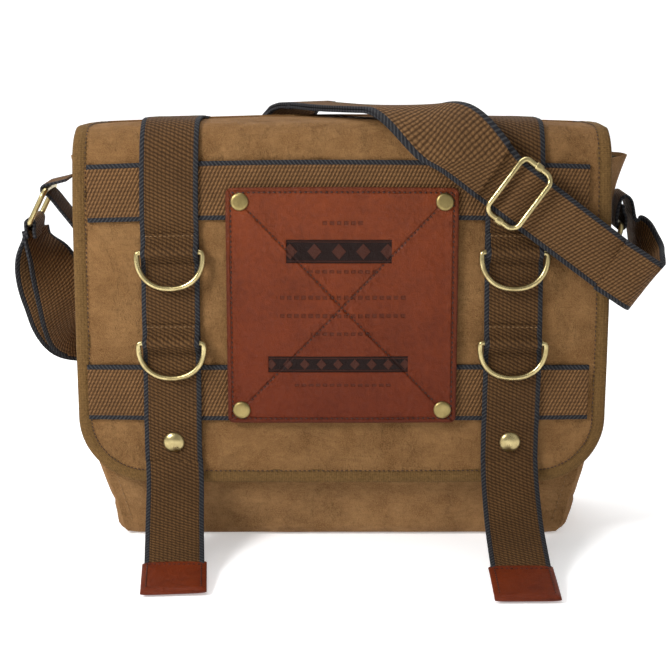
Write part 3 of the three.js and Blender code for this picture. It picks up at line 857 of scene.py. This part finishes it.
def tub(name, inset, material, thick, cuts, **how):
    build = bmesh.new()
    bmesh.ops.create_cube(build, size=2)
    bmesh.ops.subdivide_edges(build, edges=build.edges, cuts=cuts, use_grid_fill=True)
    top = [f for f in build.faces if f.calc_center_median().z > 0.999]
    bmesh.ops.delete(build, geom=top, context="FACES")
    for vert in build.verts:
        vert.co = shellPoint(vert.co, inset) * mm
    bmesh.ops.recalc_face_normals(build, faces=build.faces)
    inside = Vector((0, 0, 0.12))
    if sum(f.calc_area() * f.normal.dot(f.calc_center_median() - inside) for f in build.faces) < 0:
        bmesh.ops.reverse_faces(build, faces=build.faces)
    return thicken(keep(name, build, material, **how), thick, offset=-1.0, edge=0.3)


print("body shell and lining")
tub(
    "body_canvas_shell",
    0.0,
    bodyCanvas,
    2.2,
    body["cuts"],
    body="bag",
    standsFor=["front_panel", "back_panel", "gusset_left", "gusset_right", "base_panel"],
    slot="waxed_canvas",
)
tub("lining_tub", 4.0, liningCloth, 0.9, 39, body="bag", standsFor=["lining"], slot="lining_cloth")


def bodyFront(x, z):
    # The front face of the shell at x and z, in millimetres.
    wide = halfWidthAt(z)
    y = -halfDepthAt(z) - body["swell"] * max(0, 1 - (x / wide) ** 2) * smooth(z / 60)
    p = Vector((x, y, z))
    return p - Vector((0, creases(p) * (0.15 + 0.85 * smooth(z / 14)), 0))


# The front panel is top-stitched just inside the seam that joins it to each gusset.
seamStitches = []
for sign in (-1, 1):
    for step in range(72):
        z = 12 + step * 3.1
        middle = bodyFront(sign * (halfWidthAt(z) - 11.5), z) + Vector((0, -0.15, 0))
        seamStitches.append((middle, Vector((0, 0, 1)), Vector((0, -1, 0))))
stitchRow("side_seam_stitches", seamStitches, 2.2, 0.6, tanThread, body="bag", slot="waxed_canvas")

# The flap.

print("flap")


def canvasRipple(x, s):
    # The thin canvas between the webbings moves more than what is sewn over it.
    where = Vector((x / 26, s / 34, 7.7))
    return 0.45 * noise.noise(where) + 0.22 * noise.noise(where * 2.7)


def flapCanvasPoint(u, v):
    s = v * (flapLength - 5)
    cs = flapLength - flap["corner"]
    inset = 5
    half = flapHalf(s) - inset
    if s > cs:
        r = flap["corner"] - inset
        half = flap["halfWidth"] - flap["corner"] + math.sqrt(max(0.0, r * r - (s - cs) ** 2))
    x = (1 - 2 * u) * half
    free = smooth((half - abs(x) - 6) / 16) * smooth((flapLength - 11 - s) / 16)
    return onFlap(x, s, canvasRipple(x, s) * free)


thicken(
    keep(
        "flap_canvas",
        gridAlong(120, 120, flapCanvasPoint, (340, 340)),
        canvas,
        body="flap",
        standsFor=["flap_panel"],
        slot="waxed_canvas",
    ),
    2.6,
    edge=0,
)

hinge = {"low": 262, "peak": 279.5, "onto": 12, "proud": 1.3, "above": 1.7}


def hingePoint(u, v):
    # Canvas sewn to the top of the back panel, up round the hinge and onto the flap.
    x = (1 - 2 * u) * (flapHalf(0) - 7)
    q = (x / flap["halfWidth"]) ** 2
    behind = body["mouthHalfDepth"] + body["swell"] * (1 - (x / body["mouthHalfWidth"]) ** 2) + hinge["proud"]
    foot = Vector((x, behind, hinge["low"]))
    turn = Vector((x, behind, hinge["peak"] - flap["crown"] * q))
    onto = onFlap(x, hinge["onto"], hinge["above"])
    return foot.lerp(turn, v).lerp(turn.lerp(onto, v), v)


thicken(
    keep(
        "flap_hinge_canvas",
        gridAlong(90, 16, hingePoint, (336, 34)),
        canvas,
        slot="waxed_canvas",
    ),
    1.4,
)
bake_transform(bpy.data.objects["flap_hinge_canvas"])

bindingShape = {"wide": 10.4, "thick": 2.5, "round": 14, "steps": 420}


def bindingPoint(u, v):
    # Rolled over the raw edge: fat at the outside, thin where it is stitched down.
    a = 2 * math.pi * u
    across = 0.5 - 0.5 * math.cos(a)
    fat = bindingShape["thick"] * (1 - 0.28 * smooth(across)) + 0.25
    h = fat * math.copysign(abs(math.sin(a)) ** 0.62, math.sin(a))
    pinch = 0.5 * math.exp(-(((across * bindingShape["wide"] - 8.6) / 0.8) ** 2))
    h -= math.copysign(pinch, h)
    x, s = flapEdge(v, across * bindingShape["wide"] - 0.3)
    wave = noise.noise(Vector((x / 14, s / 14, 2))) * 0.35
    return onFlap(x, s, h + wave)


def tubeOn(name, around, steps, place, size, material, **how):
    return keep(name, gridAlong(around, steps, place, size, closed=True), material, **how)


tubeOn(
    "flap_rolled_binding",
    bindingShape["round"],
    bindingShape["steps"],
    bindingPoint,
    (24, edgeRun),
    binding,
    body="flap",
    standsFor=["flap_binding"],
    slot="binding_tape",
)

edgeStitches = []
edgeCount = int(edgeRun / 3.1)
for step in range(2, edgeCount - 1):
    x, s = flapEdge(step / edgeCount, 8.5)
    nextX, nextS = flapEdge((step + 0.4) / edgeCount, 8.5)
    out = outOfFlap(x, s)
    wave = noise.noise(Vector((x / 14, s / 14, 2))) * 0.35
    along = onFlap(nextX, nextS, 0) - onFlap(x, s, 0)
    edgeStitches.append((onFlap(x, s, 2.05 + wave), along, out))
stitchRow("binding_stitches", edgeStitches, 2.2, 0.7, darkThread, body="flap", slot="binding_tape")

# Each layer's middle, out of the flap's own middle.
layer = {"band": 2.7, "upright": 4.6, "patch": 4.9, "ringBar": 7.95}
webbingWidth = 38
uprightX = 111.5
bands = {"upper": {"z": 240, "half": 160}, "lower": {"z": 106, "half": 163}}
bandTuck = 5  # how far the left end of a band runs on under the binding


def bandPoint(z, half):
    def place(u, v):
        x = half - u * (2 * half + bandTuck)
        s = sAt(z + webbingWidth / 2) + v * webbingWidth
        return onFlap(x, s, layer["band"] - 0.3)
    return place


for where, band in bands.items():
    build = gridAlong(96, 8, bandPoint(band["z"], band["half"]), (2 * band["half"], webbingWidth))
    # The pattern runs along the band, so its UV is turned a quarter.
    uvs = build.loops.layers.uv["length"]
    for face in build.faces:
        for loop in face.loops:
            loop[uvs].uv = (loop[uvs].uv.y, loop[uvs].uv.x)
    thicken(
        keep(
            f"band_{where}",
            build,
            bandWebbing,
            body="flap",
            standsFor=[f"webbing_band_{where}"],
            slot="webbing",
        ),
        1.8,
    )


def overBands(s):
    # How high an upright webbing stands because a band runs under it.
    rise = 0.0
    for band in bands.values():
        away = abs(s - sAt(band["z"])) - webbingWidth / 2
        rise = max(rise, 1 - smooth((away + 1) / 8))
    return layer["upright"] - 1.5 * (1 - rise)


snapZ = 72
uprightEnd = sAt(snapZ - 14)
uprightStart = 1.5
for where, sign in (("left", -1), ("right", 1)):
    def uprightPoint(u, v, sign=sign):
        s = uprightStart + v * (uprightEnd - uprightStart)
        wander = noise.noise(Vector((sign * 9, s / 70, 1))) * 0.8
        x = sign * uprightX + (0.5 - u) * webbingWidth + wander
        edge = 0.25 * noise.noise(Vector((x / 8, s / 12, 4)))
        sink = 1.3 * (1 - smooth((s - uprightStart) / 40))  # stitched down at the rear seam
        return onFlap(x, s, overBands(s) + edge - sink)

    length = uprightEnd - uprightStart
    thicken(
        keep(
            f"upright_webbing_{where}",
            gridAlong(10, 170, uprightPoint, (webbingWidth, length)),
            flapWebbing,
            body="flap",
            standsFor=[f"flap_webbing_{where}"],
            slot="webbing",
        ),
        1.8,
    )

# The leather patch, its stitching and rivets.

print("patch")


def patchHeightAt(x, s):
    # It sits on the bands at its head and foot and sinks to the canvas between them, pinned by the rivets.
    z = flap["top"] + bendLength + topZ - flap["bend"] - s
    onBand = 0.0
    for band in bands.values():
        onBand = max(onBand, 1 - smooth((abs(z - band["z"]) - webbingWidth / 2 + 2) / 12))
    acrossBelly = math.cos(math.pi / 2 * min(1, abs(x) / (patch["width"] / 2)))
    upBelly = math.cos(math.pi / 2 * min(1, abs(z - patch["centre"]) / (patch["height"] / 2)))
    belly = 1.3 * acrossBelly * upBelly
    pin = 0.0
    for rx in (-patch["rivets"]["x"], patch["rivets"]["x"]):
        for rz in (patch["rivets"]["top"], patch["rivets"]["foot"]):
            pin += 0.35 * math.exp(-((x - rx) ** 2 + (z - rz) ** 2) / 90)
    return layer["patch"] - 0.9 * (1 - onBand) + belly - pin


def patchPoint(u, v):
    x = (1 - 2 * u) * patch["width"] / 2
    z = patch["centre"] + patch["height"] / 2 - v * patch["height"]
    # Small round corners: the grid's own corners slide in along a circle.
    r = patch["corner"]
    dx = abs(x) - (patch["width"] / 2 - r)
    dz = abs(z - patch["centre"]) - (patch["height"] / 2 - r)
    if dx > 0 and dz > 0:
        over = math.hypot(dx, dz)
        square = max(dx, dz)
        x = math.copysign(patch["width"] / 2 - r + dx / over * square, x)
        z = patch["centre"] + math.copysign(patch["height"] / 2 - r + dz / over * square, z - patch["centre"])
    s = sAt(z)
    h = patchHeightAt(x, s)
    for bar in (patch["upperBar"], patch["lowerBar"]):
        away = max(abs(x - bar["x"]) - bar["halfWidth"], abs(z - bar["z"]) - bar["halfHeight"])
        h -= 0.45 * (1 - smooth((away + 0.6) / 1.4))
    return onFlap(x, s, h)


thicken(
    keep(
        "pressed_patch",
        gridAlong(110, 114, patchPoint, (patch["width"], patch["height"])),
        pressedLeather,
        body="flap",
        standsFor=["leather_patch"],
        slot="leather",
    ),
    patch["thick"],
    edge=0.5,
)


def patchStitch(x, z, dx, dz):
    s = sAt(z)
    along = onFlap(x + dx, s - dz, 0) - onFlap(x, s, 0)
    return (onFlap(x, s, patchHeightAt(x, s) + patch["thick"] / 2 + 0.02), along, outOfFlap(x, s))


patchStitches = []
halfW = patch["width"] / 2 - patch["stitchInset"]
halfH = patch["height"] / 2 - patch["stitchInset"]
count = int(2 * halfW / patch["stitchPitch"])
for step in range(count):
    x = -halfW + (step + 0.5) * 2 * halfW / count
    for side in (-1, 1):
        patchStitches.append(patchStitch(x, patch["centre"] + side * halfH, 1, 0))
count = int(2 * halfH / patch["stitchPitch"])
for step in range(count):
    z = patch["centre"] - halfH + (step + 0.5) * 2 * halfH / count
    for side in (-1, 1):
        patchStitches.append(patchStitch(side * halfW, z, 0, 1))
stitchRow("patch_edge_stitches", patchStitches, 1.9, 1.15, darkThread, body="flap", slot="leather")

crossStitches = []
crossWide = 2 * patch["rivets"]["x"]
crossHigh = patch["rivets"]["top"] - patch["rivets"]["foot"]
crossLength = math.hypot(crossWide, crossHigh)
count = int(crossLength / patch["crossPitch"])
for step in range(3, count - 3):
    t = (step + 0.5) / count
    for slant in (-1, 1):
        x = (crossWide * t - crossWide / 2) * slant
        z = patch["rivets"]["top"] - crossHigh * t
        hidden = False
        for bar in (patch["upperBar"], patch["lowerBar"]):
            beside = abs(x - bar["x"]) < bar["halfWidth"]
            hidden = hidden or (beside and abs(z - bar["z"]) < bar["halfHeight"])
        if not hidden:
            crossStitches.append(patchStitch(x, z, crossWide * slant / 100, -crossHigh / 100))
stitchRow("patch_cross_stitches", crossStitches, 1.6, 1.1, darkThread, body="flap", slot="leather")

rivet = {
    "outline": [(0, 1.95), (3.6, 1.95), (4.9, 1.75), (5.5, 1.3), (5.85, 0.7), (5.9, 0.15), (5.85, 0), (0, 0)],
}
for height, z in (("upper", patch["rivets"]["top"]), ("lower", patch["rivets"]["foot"])):
    for where, x in (("left", -patch["rivets"]["x"]), ("right", patch["rivets"]["x"])):
        out = patchHeightAt(x, sAt(z)) + patch["thick"] / 2 - 0.15
        turned(
            f"rivet_{height}_{where}",
            rivet["outline"],
            seatOnFlap(x, z, out),
            capBrass,
            body="flap",
            standsFor=[f"patch_rivet_{height}_{where}"],
            slot="antique_brass",
        )

snap = {
    "cap": [
        (0, 3.3), (1.8, 3.2), (3.6, 2.85), (5.2, 2.2), (6.3, 1.4),
        (6.9, 0.6), (7, 0.2), (6.9, 0), (0, 0),
    ],
}
for where, sign in (("left", -1), ("right", 1)):
    turned(
        f"snap_dome_{where}",
        snap["cap"],
        seatOnFlap(sign * uprightX, snapZ, layer["upright"] - 0.6),
        brass,
        steps=40,
        body="flap",
        standsFor=[f"snap_cap_{where}"],
        slot="antique_brass",
    )
    for node in (f"snap_stud_{where}", f"snap_socket_{where}"):
        refinish(node, brass)

# D-rings under their webbing tunnels.

print("rings and webbing tunnels")
ring = {"wire": 3.5, "width": 46.5, "height": 27}


def dOutline(bendSteps=30):
    # A D hanging from its straight bar, x across and y up, as a poly line.
    half = (ring["width"] - ring["wire"]) / 2
    drop = ring["height"] - ring["wire"]
    corners = [
        ((half - 2, 0), (half - 0.5, 0), (half, -0.8), (half, -3)),
        ((half, -3), (half, -15), (half * 0.62, -drop), (0, -drop)),
        ((0, -drop), (-half * 0.62, -drop), (-half, -15), (-half, -3)),
        ((-half, -3), (-half, -0.8), (-half + 0.5, 0), (-half + 2, 0)),
    ]
    line = []
    for bend in corners:
        a, b, c, d = [Vector((*p, 0)) for p in bend]
        line += geometry.interpolate_bezier(a, b, c, d, bendSteps)[:-1]
    line.append(Vector((-half + 2, 0, 0)))
    return line


ringPlaces = {
    "upper_left": (-uprightX, 201),
    "upper_right": (uprightX, 201),
    "lower_left": (-uprightX, 141),
    "lower_right": (uprightX, 141),
}
tunnelStitches = []
for where, (x, z) in ringPlaces.items():
    seat = seatOnFlap(x, z, layer["ringBar"])
    points = [(seat @ (p * mm)) / mm for p in dOutline()]
    wireThrough(
        f"d_wire_{where}",
        points,
        ring["wire"] / 2,
        brass,
        body=f"d_ring_{where}",
        standsFor=[f"d_ring_{where}"],
        slot="antique_brass",
    )

    def tunnelPoint(u, v, x=x, z=z):
        # From 12 above the bar to 7 below it, humped over the wire.
        down = -12 + 19 * v
        hump = math.exp(-((abs(down) / 3.7) ** 2.6))
        base = overBands(sAt(z) + down) + 1.65
        top = layer["ringBar"] + ring["wire"] / 2 + 1.0
        h = base + (top - base) * hump
        return onFlap(x + (0.5 - u) * 37.2, sAt(z) + down, h)

    thicken(
        keep(
            f"tunnel_{where}",
            gridAlong(8, 38, tunnelPoint, (webbingWidth, 19)),
            flapWebbing,
            body="flap",
            standsFor=[f"ring_keeper_{where}"],
            slot="webbing",
        ),
        1.5,
    )
    for step in range(11):
        across = -15 + 3 * step
        for down in (5.4, -10.4):
            s = sAt(z) + down
            out = outOfFlap(x, s)
            h = overBands(s) + 2.45
            tunnelStitches.append((onFlap(x + across, s, h), Vector((1, 0, 0)), out))
stitchRow("tunnel_stitches", tunnelStitches, 2.2, 0.6, tanThread, body="flap", slot="webbing")

# The loose tails with their leather tips.

print("tails")
tails = {"left": {"x": -uprightX, "end": (-104, -160)}, "right": {"x": uprightX, "end": (113, -172)}}
tipLook = {"width": 41, "thick": 3.6}


for where, tail in tails.items():
    x = tail["x"]
    endX, endY = tail["end"]
    start = onFlap(x, uprightEnd, overBands(uprightEnd))
    shift = endX - x
    reach = endY - start.y
    path = [
        (x, start.y + 0.1, start.z + 1.2),
        (x + shift * 0.1, start.y + reach * 0.06, start.z - 12),
        (x + shift * 0.3, start.y + reach * 0.3, start.z - 33),
        (x + shift * 0.7, start.y + reach * 0.68, start.z - 50),
    ]
    lean = math.copysign(0.058, x)
    wides = [(1, lean, 0), (1, 0, 0), (1, 0, 0), (1, 0, 0)]
    ribbon(
        f"tail_{where}_webbing",
        path,
        wides,
        webbingWidth,
        1.8,
        60,
        flapWebbing,
        body=f"tail_{where}",
        standsFor=[f"tail_webbing_{where}"],
        slot="webbing",
    )
    near = Vector(path[3])
    toward = near.lerp(Vector((endX, endY, 1.6)), -0.12)
    tip = [
        toward,
        Vector(((near.x + endX) / 2, (near.y + endY) / 2, (near.z + 2.6) / 2 + 0.4)),
        Vector((endX, endY, 2.6)),
    ]
    tipPath, tipLength = smoothPath(tip, 40)

    def tipPoint(u, v, tipPath=tipPath):
        # A folded leather cap, rounded all round: closed across, its end rolled.
        i = round(v * 40)
        along = (tipPath[min(i + 1, 40)] - tipPath[max(i - 1, 0)]).normalized()
        wide = Vector((1, 0, 0))
        wide = (wide - along * wide.dot(along)).normalized()
        out = wide.cross(along)
        a = 2 * math.pi * u
        square = 0.34
        across = math.copysign(abs(math.cos(a)) ** square, math.cos(a))
        thin = math.copysign(abs(math.sin(a)) ** 0.75, math.sin(a))
        end = 1 - 0.35 * smooth((v - 0.95) / 0.05)
        roll = 0.35 * math.exp(-(((v - 0.9) / 0.06) ** 2))
        deep = (tipLook["thick"] / 2 + roll) * end
        return tipPath[i] + wide * across * tipLook["width"] / 2 - out * thin * deep

    tubeOn(
        f"tail_{where}_tip",
        40,
        40,
        tipPoint,
        (90, tipLength),
        leather,
        body=f"tail_{where}",
        standsFor=[f"tail_tip_{where}"],
        slot="leather",
    )
    tipStitches = []
    halfTip = tipLook["width"] / 2 - 3.4
    for step in range(11):
        i = 4 + step * 3
        along = (tipPath[min(i + 1, 40)] - tipPath[i - 1]).normalized()
        out = -Vector((1, 0, 0)).cross(along).normalized()
        lift = out * (tipLook["thick"] / 2 - 0.02)
        for side in (-1, 1):
            tipStitches.append((tipPath[i] + Vector((side * halfTip, 0, 0)) + lift, along, out))
    along = (tipPath[5] - tipPath[3]).normalized()
    out = -Vector((1, 0, 0)).cross(along).normalized()
    for step in range(11):
        across = -halfTip + 1.6 + step * (2 * halfTip - 3.2) / 10
        middle = tipPath[4] + Vector((across, 0, 0)) + out * (tipLook["thick"] / 2 + 0.02)
        tipStitches.append((middle, Vector((1, 0, 0)), out))
    stitchRow(
        f"tail_{where}_tip_stitches",
        tipStitches,
        2.2,
        0.85,
        darkThread,
        body=f"tail_{where}",
        slot="leather",
    )

# Side rings, their anchors and the strap's sewn ends.

print("side rings")
# The left ring hangs from its anchor; the right one stands up from it, pulled up by the strap.
sideRings = {
    "left": {"sign": -1, "bar": (199, 234), "far": (210.5, 211), "way": 1},
    "right": {"sign": 1, "bar": (182.5, 190), "far": (188.5, 210.5), "way": -1},
}


def gussetFace(sign, z):
    flare = body["flareLeft"] if sign < 0 else body["flareRight"]
    return halfWidthAt(z) - 0.6 + 2 + flare * (z / body["height"]) ** 4


for where, side in sideRings.items():
    sign = side["sign"]
    barX, barZ = side["bar"]
    farX, farZ = side["far"]
    top = Vector((sign * barX, 0, barZ))
    down = Vector((sign * farX, 0, farZ)) - top
    reach = down.length
    down.normalize()
    outline = []
    corner = 5
    bends = ((17, corner, 0), (17, reach - corner, 90), (-17, reach - corner, 180), (-17, corner, 270))
    for cy, cd, start in bends:
        for step in range(13):
            a = math.radians(start + step * 90 / 12)
            across = Vector((0, cy + corner * math.sin(a), 0))
            outline.append(top + across + down * (cd - corner * math.cos(a)))
    wireThrough(
        f"side_wire_{where}",
        outline,
        ring["wire"] / 2,
        brass,
        body=f"side_ring_{where}",
        standsFor=[f"side_ring_{where}"],
        slot="antique_brass",
    )
    r = ring["wire"] / 2 + 1.35
    footZ = barZ - 31
    footX = gussetFace(sign, footZ) + 1.4
    loop = [(sign * footX, 0, footZ), (sign * (footX + 0.62 * (barX - r - footX)), 0, (footZ + barZ) / 2)]
    if sign < 0:
        # Down the gusset, out under the bar, round it and back in to the bag's rim.
        for step in range(6):
            a = math.radians(-95 + step * 37)
            loop.append((-(barX + r * math.cos(a)), 0, barZ + r * math.sin(a)))
        loop += [(-190, 0, barZ + 5.2), (-185, 0, barZ + 6.5)]
    else:
        for step in range(7):
            a = math.radians(180 - step * 32)
            loop.append((barX + r * math.cos(a), 0, barZ + r * math.sin(a)))
    flat = [(0, 1, 0)] * len(loop)
    ribbon(
        f"anchor_{where}",
        loop,
        flat,
        36,
        1.7,
        56,
        anchorWebbing,
        body="bag",
        standsFor=[f"ring_anchor_{where}"],
        slot="webbing",
    )
    # The strap's end goes round the ring's far bar and is sewn to itself beyond it.
    r = ring["wire"] / 2 + 1.35
    if sign < 0:
        loop = [(-212.3, 0, farZ - 10), (-(farX + r - 0.4), 0, farZ - 5)]
    else:
        loop = [(189.6, 0, 223.5), (189.9, 0, 219), (farX + r - 0.2, 0, farZ + 5.5)]
    for step in range(7):
        a = math.radians(-10 + step * 33)
        loop.append((sign * (farX + r * math.cos(a)), 0, farZ + side["way"] * r * math.sin(a)))
    if sign < 0:
        loop += [(-(farX - r + 0.6), 0, farZ - 5), (-207.2, 0, farZ - 10)]
    else:
        # The inner leg goes on up, over in a small curl, and out to meet the strap coming from the fold.
        loop += [
            (farX - r, 0, farZ + 6),
            (187, 0, 224.5),
            (188.4, 0, 228.2),
            (191.6, 0, 229.9),
            (194.6, 0, 227.4),
            (196.2, 0, 222.4),
            (197.2, 0, 217),
        ]
    flat = [(0, 1, 0)] * len(loop)
    ribbon(
        f"strap_loop_{where}",
        loop,
        flat,
        webbingWidth,
        1.7,
        90,
        webbing,
        body=f"side_ring_{where}",
        standsFor=[f"strap_end_{where}"],
        slot="webbing",
    )

# The shoulder strap.

print("shoulder strap")
slider = {"x": 112.4, "z": 240, "long": 46, "short": 27, "rise": 14.5, "heading": (0.81, 0.586)}
sliderS = sAt(slider["z"])


def alongStrap(d):
    return (slider["x"] + slider["heading"][0] * d, sliderS + slider["heading"][1] * d, slider["rise"])


# Two layers of webbing that part a little at the bag's left side, where the strap turns to face forwards.
rear = {
    "path": [
        (-210.0, 0, 206),
        (-209.0, 0, 199),
        (-205, 0, 186),
        (-201, 1, 170),
        (-197.5, 4, 155),
        (-196, 13, 140),
        (-194, 29, 127),
        (-187, 46, 121),
        (-166, 63, 118),
        (-138, 70, 131),
        (-106, 71, 163),
        (-80, 71, 200),
        (-58, 70, 235),
        (-44, 69, 262),
        (-38.5, 68.4, 273),
        (-34, 63, 282),
        (-28, 53, 286.2),
        (-20, 40.2, 286.6),
    ],
    "wide": [
        (-0.05, -1, 0),
        (-0.3, -0.95, 0),
        (-0.7, -0.7, 0),
        (-0.86, -0.5, 0),
        (-0.92, -0.36, 0),
        (-0.86, -0.4, -0.3),
        (-0.62, -0.45, -0.6),
        (-0.3, -0.4, -0.85),
        (0.15, -0.12, -0.97),
        (0.58, 0, -0.8),
        (0.77, 0, -0.63),
        (0.85, 0, -0.45),
        (0.9, 0, -0.4),
        (0.92, 0.1, -0.3),
        (0.9, 0.3, -0.1),
        (0.87, 0.48, 0),
        (0.87, 0.5, 0),
        (0.86, 0.5, 0),
    ],
    "part": {1: 1.5, 2: 5, 3: 6, 4: 5, 5: 4, 6: 2, 7: 1},
}


def strapOnFlap(points, width, steps):
    # Points down the flap, [x, s, h], as a path in space with the width's own directions.
    path, length = smoothPath([Vector(p) for p in points], steps)
    frames = []
    for i, p in enumerate(path):
        along = path[min(i + 1, steps)] - path[max(i - 1, 0)]
        along.z = 0
        along.normalize()
        frames.append((p, Vector((-along.y, along.x, 0))))
    return frames, length


def layerOf(name, lift, points, thick, material, **how):
    steps = 90
    frames, length = strapOnFlap(points, webbingWidth, steps)

    def place(u, v):
        p, side = frames[round(v * steps)]
        q = p + side * (u - 0.5) * webbingWidth
        return onFlap(q.x, q.y, q.z + lift, rippled=0.4)

    return thicken(keep(name, gridAlong(10, steps, place, (webbingWidth, length)), material, **how), thick)


# Two layers from the left ring, behind the bag and over its top: they part a little here and there.
for side, lift in (("outer", 1.15), ("inner", -1.15)):
    sideways = 0.5 if side == "outer" else -0.6
    shift = -1 if side == "outer" else 1
    path = []
    for index, point in enumerate(rear["path"]):
        apart = rear["part"].get(index, 0) * shift
        path.append((point[0] + apart, point[1] - max(0, apart) * 0.5, point[2]))

    def wander(u, v, lift=lift, sideways=sideways):
        return lift * (1 + 0.35 * noise.noise(Vector((v * 9, sideways, 2))))

    ribbon(
        f"strap_rear_{side}",
        path,
        rear["wide"],
        webbingWidth,
        1.9,
        220,
        webbing,
        rows=wander,
        reach=4,
        standsFor=["shoulder_strap_rear", "shoulder_strap_crest"] if side == "outer" else (),
        slot="webbing",
    )
    layerOf(
        f"strap_front_{side}",
        lift,
        [(-21.5, 8, 9.2), (-2, 42, 7.6), (24, 76, 8), (52, 104, 10.5), alongStrap(-48), alongStrap(-21)],
        1.9,
        webbing,
        body="flap",
        standsFor=["shoulder_strap_front"] if side == "outer" else (),
        slot="webbing",
    )
    rearPiece = bpy.data.objects[f"strap_rear_{side}"]
    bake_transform(rearPiece)

sliderHump = 2.6


def adjustingPoints():
    points = []
    for d in (-23.5, -15, -9, -3, 0, 3, 9, 15, 30, 52, 76):
        x, s, h = alongStrap(d)
        hump = math.exp(-((d / 7) ** 2))
        dip = 0.5 * (math.exp(-(((d - 13.5) / 4) ** 2)) + math.exp(-(((d + 13.5) / 4) ** 2)))
        points.append((x, s, h - 1.2 + sliderHump * hump - dip))
    return points


layerOf(
    "strap_through_slider",
    0.0,
    adjustingPoints(),
    2.1,
    webbing,
    body="flap",
    standsFor=["shoulder_strap_adjusting"],
    slot="webbing",
)

fx, fy, fz = onFlap(*alongStrap(77), rippled=0.4)
fold = (0.57, 0, 0.81)
returning = {
    "path": [
        (fx - 2, fy, fz + 0.6),
        (fx + 9, fy, fz - 6.5),
        (fx + 18, fy + 2, fz - 12.5),
        (fx + 23, fy + 9, fz - 15),
        (fx + 25.5, fy + 20, fz - 11),
        (203, -27, 186),
        (202.5, -13, 196),
        (200.5, -3, 204),
        (198.4, -0.2, 211.5),
        (197, 0, 217.4),
    ],
    "wide": [
        fold,
        fold,
        fold,
        fold,
        (0.5, -0.1, 0.8),
        (0.5, -0.35, 0.65),
        (0.3, -0.75, 0.3),
        (0.1, -0.95, 0.1),
        (0, -1, 0),
        (0, -1, 0),
    ],
}
ribbon(
    "strap_return",
    returning["path"],
    returning["wide"],
    webbingWidth,
    2.1,
    150,
    webbing,
    reach=5,
    begin=105,
    standsFor=["shoulder_strap_return"],
    slot="webbing",
)
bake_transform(bpy.data.objects["strap_return"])

# The slider.

print("slider")


def onSlider(a, d, h):
    x = slider["x"] + slider["heading"][0] * d + slider["heading"][1] * a
    s = sliderS + slider["heading"][1] * d - slider["heading"][0] * a
    return onFlap(x, s, slider["rise"] + h, rippled=0.0)


halfLong = (slider["long"] - ring["wire"]) / 2
halfShort = (slider["short"] - ring["wire"]) / 2
liftOfFrame = 1.2 + ring["wire"] / 2 + 0.9
outline = []
cornerOf = 6
for ca, cd, start in (
    (halfLong - cornerOf, halfShort - cornerOf, 0),
    (-halfLong + cornerOf, halfShort - cornerOf, 90),
    (-halfLong + cornerOf, -halfShort + cornerOf, 180),
    (halfLong - cornerOf, -halfShort + cornerOf, 270),
):
    for step in range(13):
        a = math.radians(start + step * 7.5)
        across = ca + cornerOf * math.cos(a)
        along = cd + cornerOf * math.sin(a)
        dip = 2.4 * smooth((abs(across) - halfLong + 9) / 9) * (1 - 0.45 * abs(along) / halfShort)
        outline.append(onSlider(across, along, liftOfFrame - dip))
wireThrough(
    "slider_wire",
    outline,
    ring["wire"] / 2,
    brass,
    body="slider",
    standsFor=["slider_frame"],
    slot="antique_brass",
)
barBends = [(-halfLong + 0.4, -1.6), (-halfLong + 4, -3), (halfLong - 4, -3), (halfLong - 0.4, -1.6)]
bar = [onSlider(across, 0, h) for across, h in barBends]
wireThrough(
    "slider_middle_bar",
    bar,
    1.5,
    brass,
    closed=False,
    body="slider",
    standsFor=["slider_bar"],
    slot="antique_brass",
)
for number, end in enumerate((-1, 1)):
    # The bar's end is wrapped round the frame as a small collar.
    centre = onSlider(end * (halfLong + 0.1), 0, liftOfFrame - 2.4)
    axis = (onSlider(end * halfLong, 3, 0) - onSlider(end * halfLong, -3, 0)).normalized()
    turn = axis.to_track_quat("Z", "Y").to_matrix().to_4x4()
    turned(
        f"slider_collar_{number}",
        [(1.5, -2.6), (2.35, -2.6), (2.6, -2.2), (2.65, 0), (2.6, 2.2), (2.35, 2.6), (1.5, 2.6)],
        Matrix.Translation(centre * mm) @ turn,
        brass,
        steps=20,
        body="slider",
        slot="antique_brass",
    )

# Floor and backdrop.

print("floor")


def sweep():
    # A pale floor that curves up into a backdrop.
    build = bmesh.new()
    verts = [build.verts.new((-4, y, z)) for y, z in [(-3, 0), (1.2, 0)]]
    for step in range(1, 13):
        a = math.radians(step * 7.5)
        verts.append(build.verts.new((-4, 1.2 + math.sin(a), 1 - math.cos(a))))
    verts.append(build.verts.new((-4, 2.2, 4)))
    edges = [build.edges.new(pair) for pair in zip(verts, verts[1:])]
    made = bmesh.ops.extrude_edge_only(build, edges=edges)
    moved = [v for v in made["geom"] if isinstance(v, bmesh.types.BMVert)]
    bmesh.ops.translate(build, vec=(8, 0, 0), verts=moved)
    bmesh.ops.translate(build, vec=(0, 0, -0.0002), verts=build.verts)
    mesh = bpy.data.meshes.new("floor")
    build.to_mesh(mesh)
    build.free()
    mesh.polygons.foreach_set("use_smooth", [True] * len(mesh.polygons))
    paper = Finish("paper", roughness=0.9)
    paper.paint((0.95, 0.95, 0.95, 1))
    paper.feed(paper.shader.inputs["Emission Color"], (1, 1, 1, 1))
    paper.feed(paper.shader.inputs["Emission Strength"], 0.36)
    mesh.materials.append(paper.material)
    floor = bpy.data.objects.new("floor", mesh)
    scene.collection.objects.link(floor)


sweep()
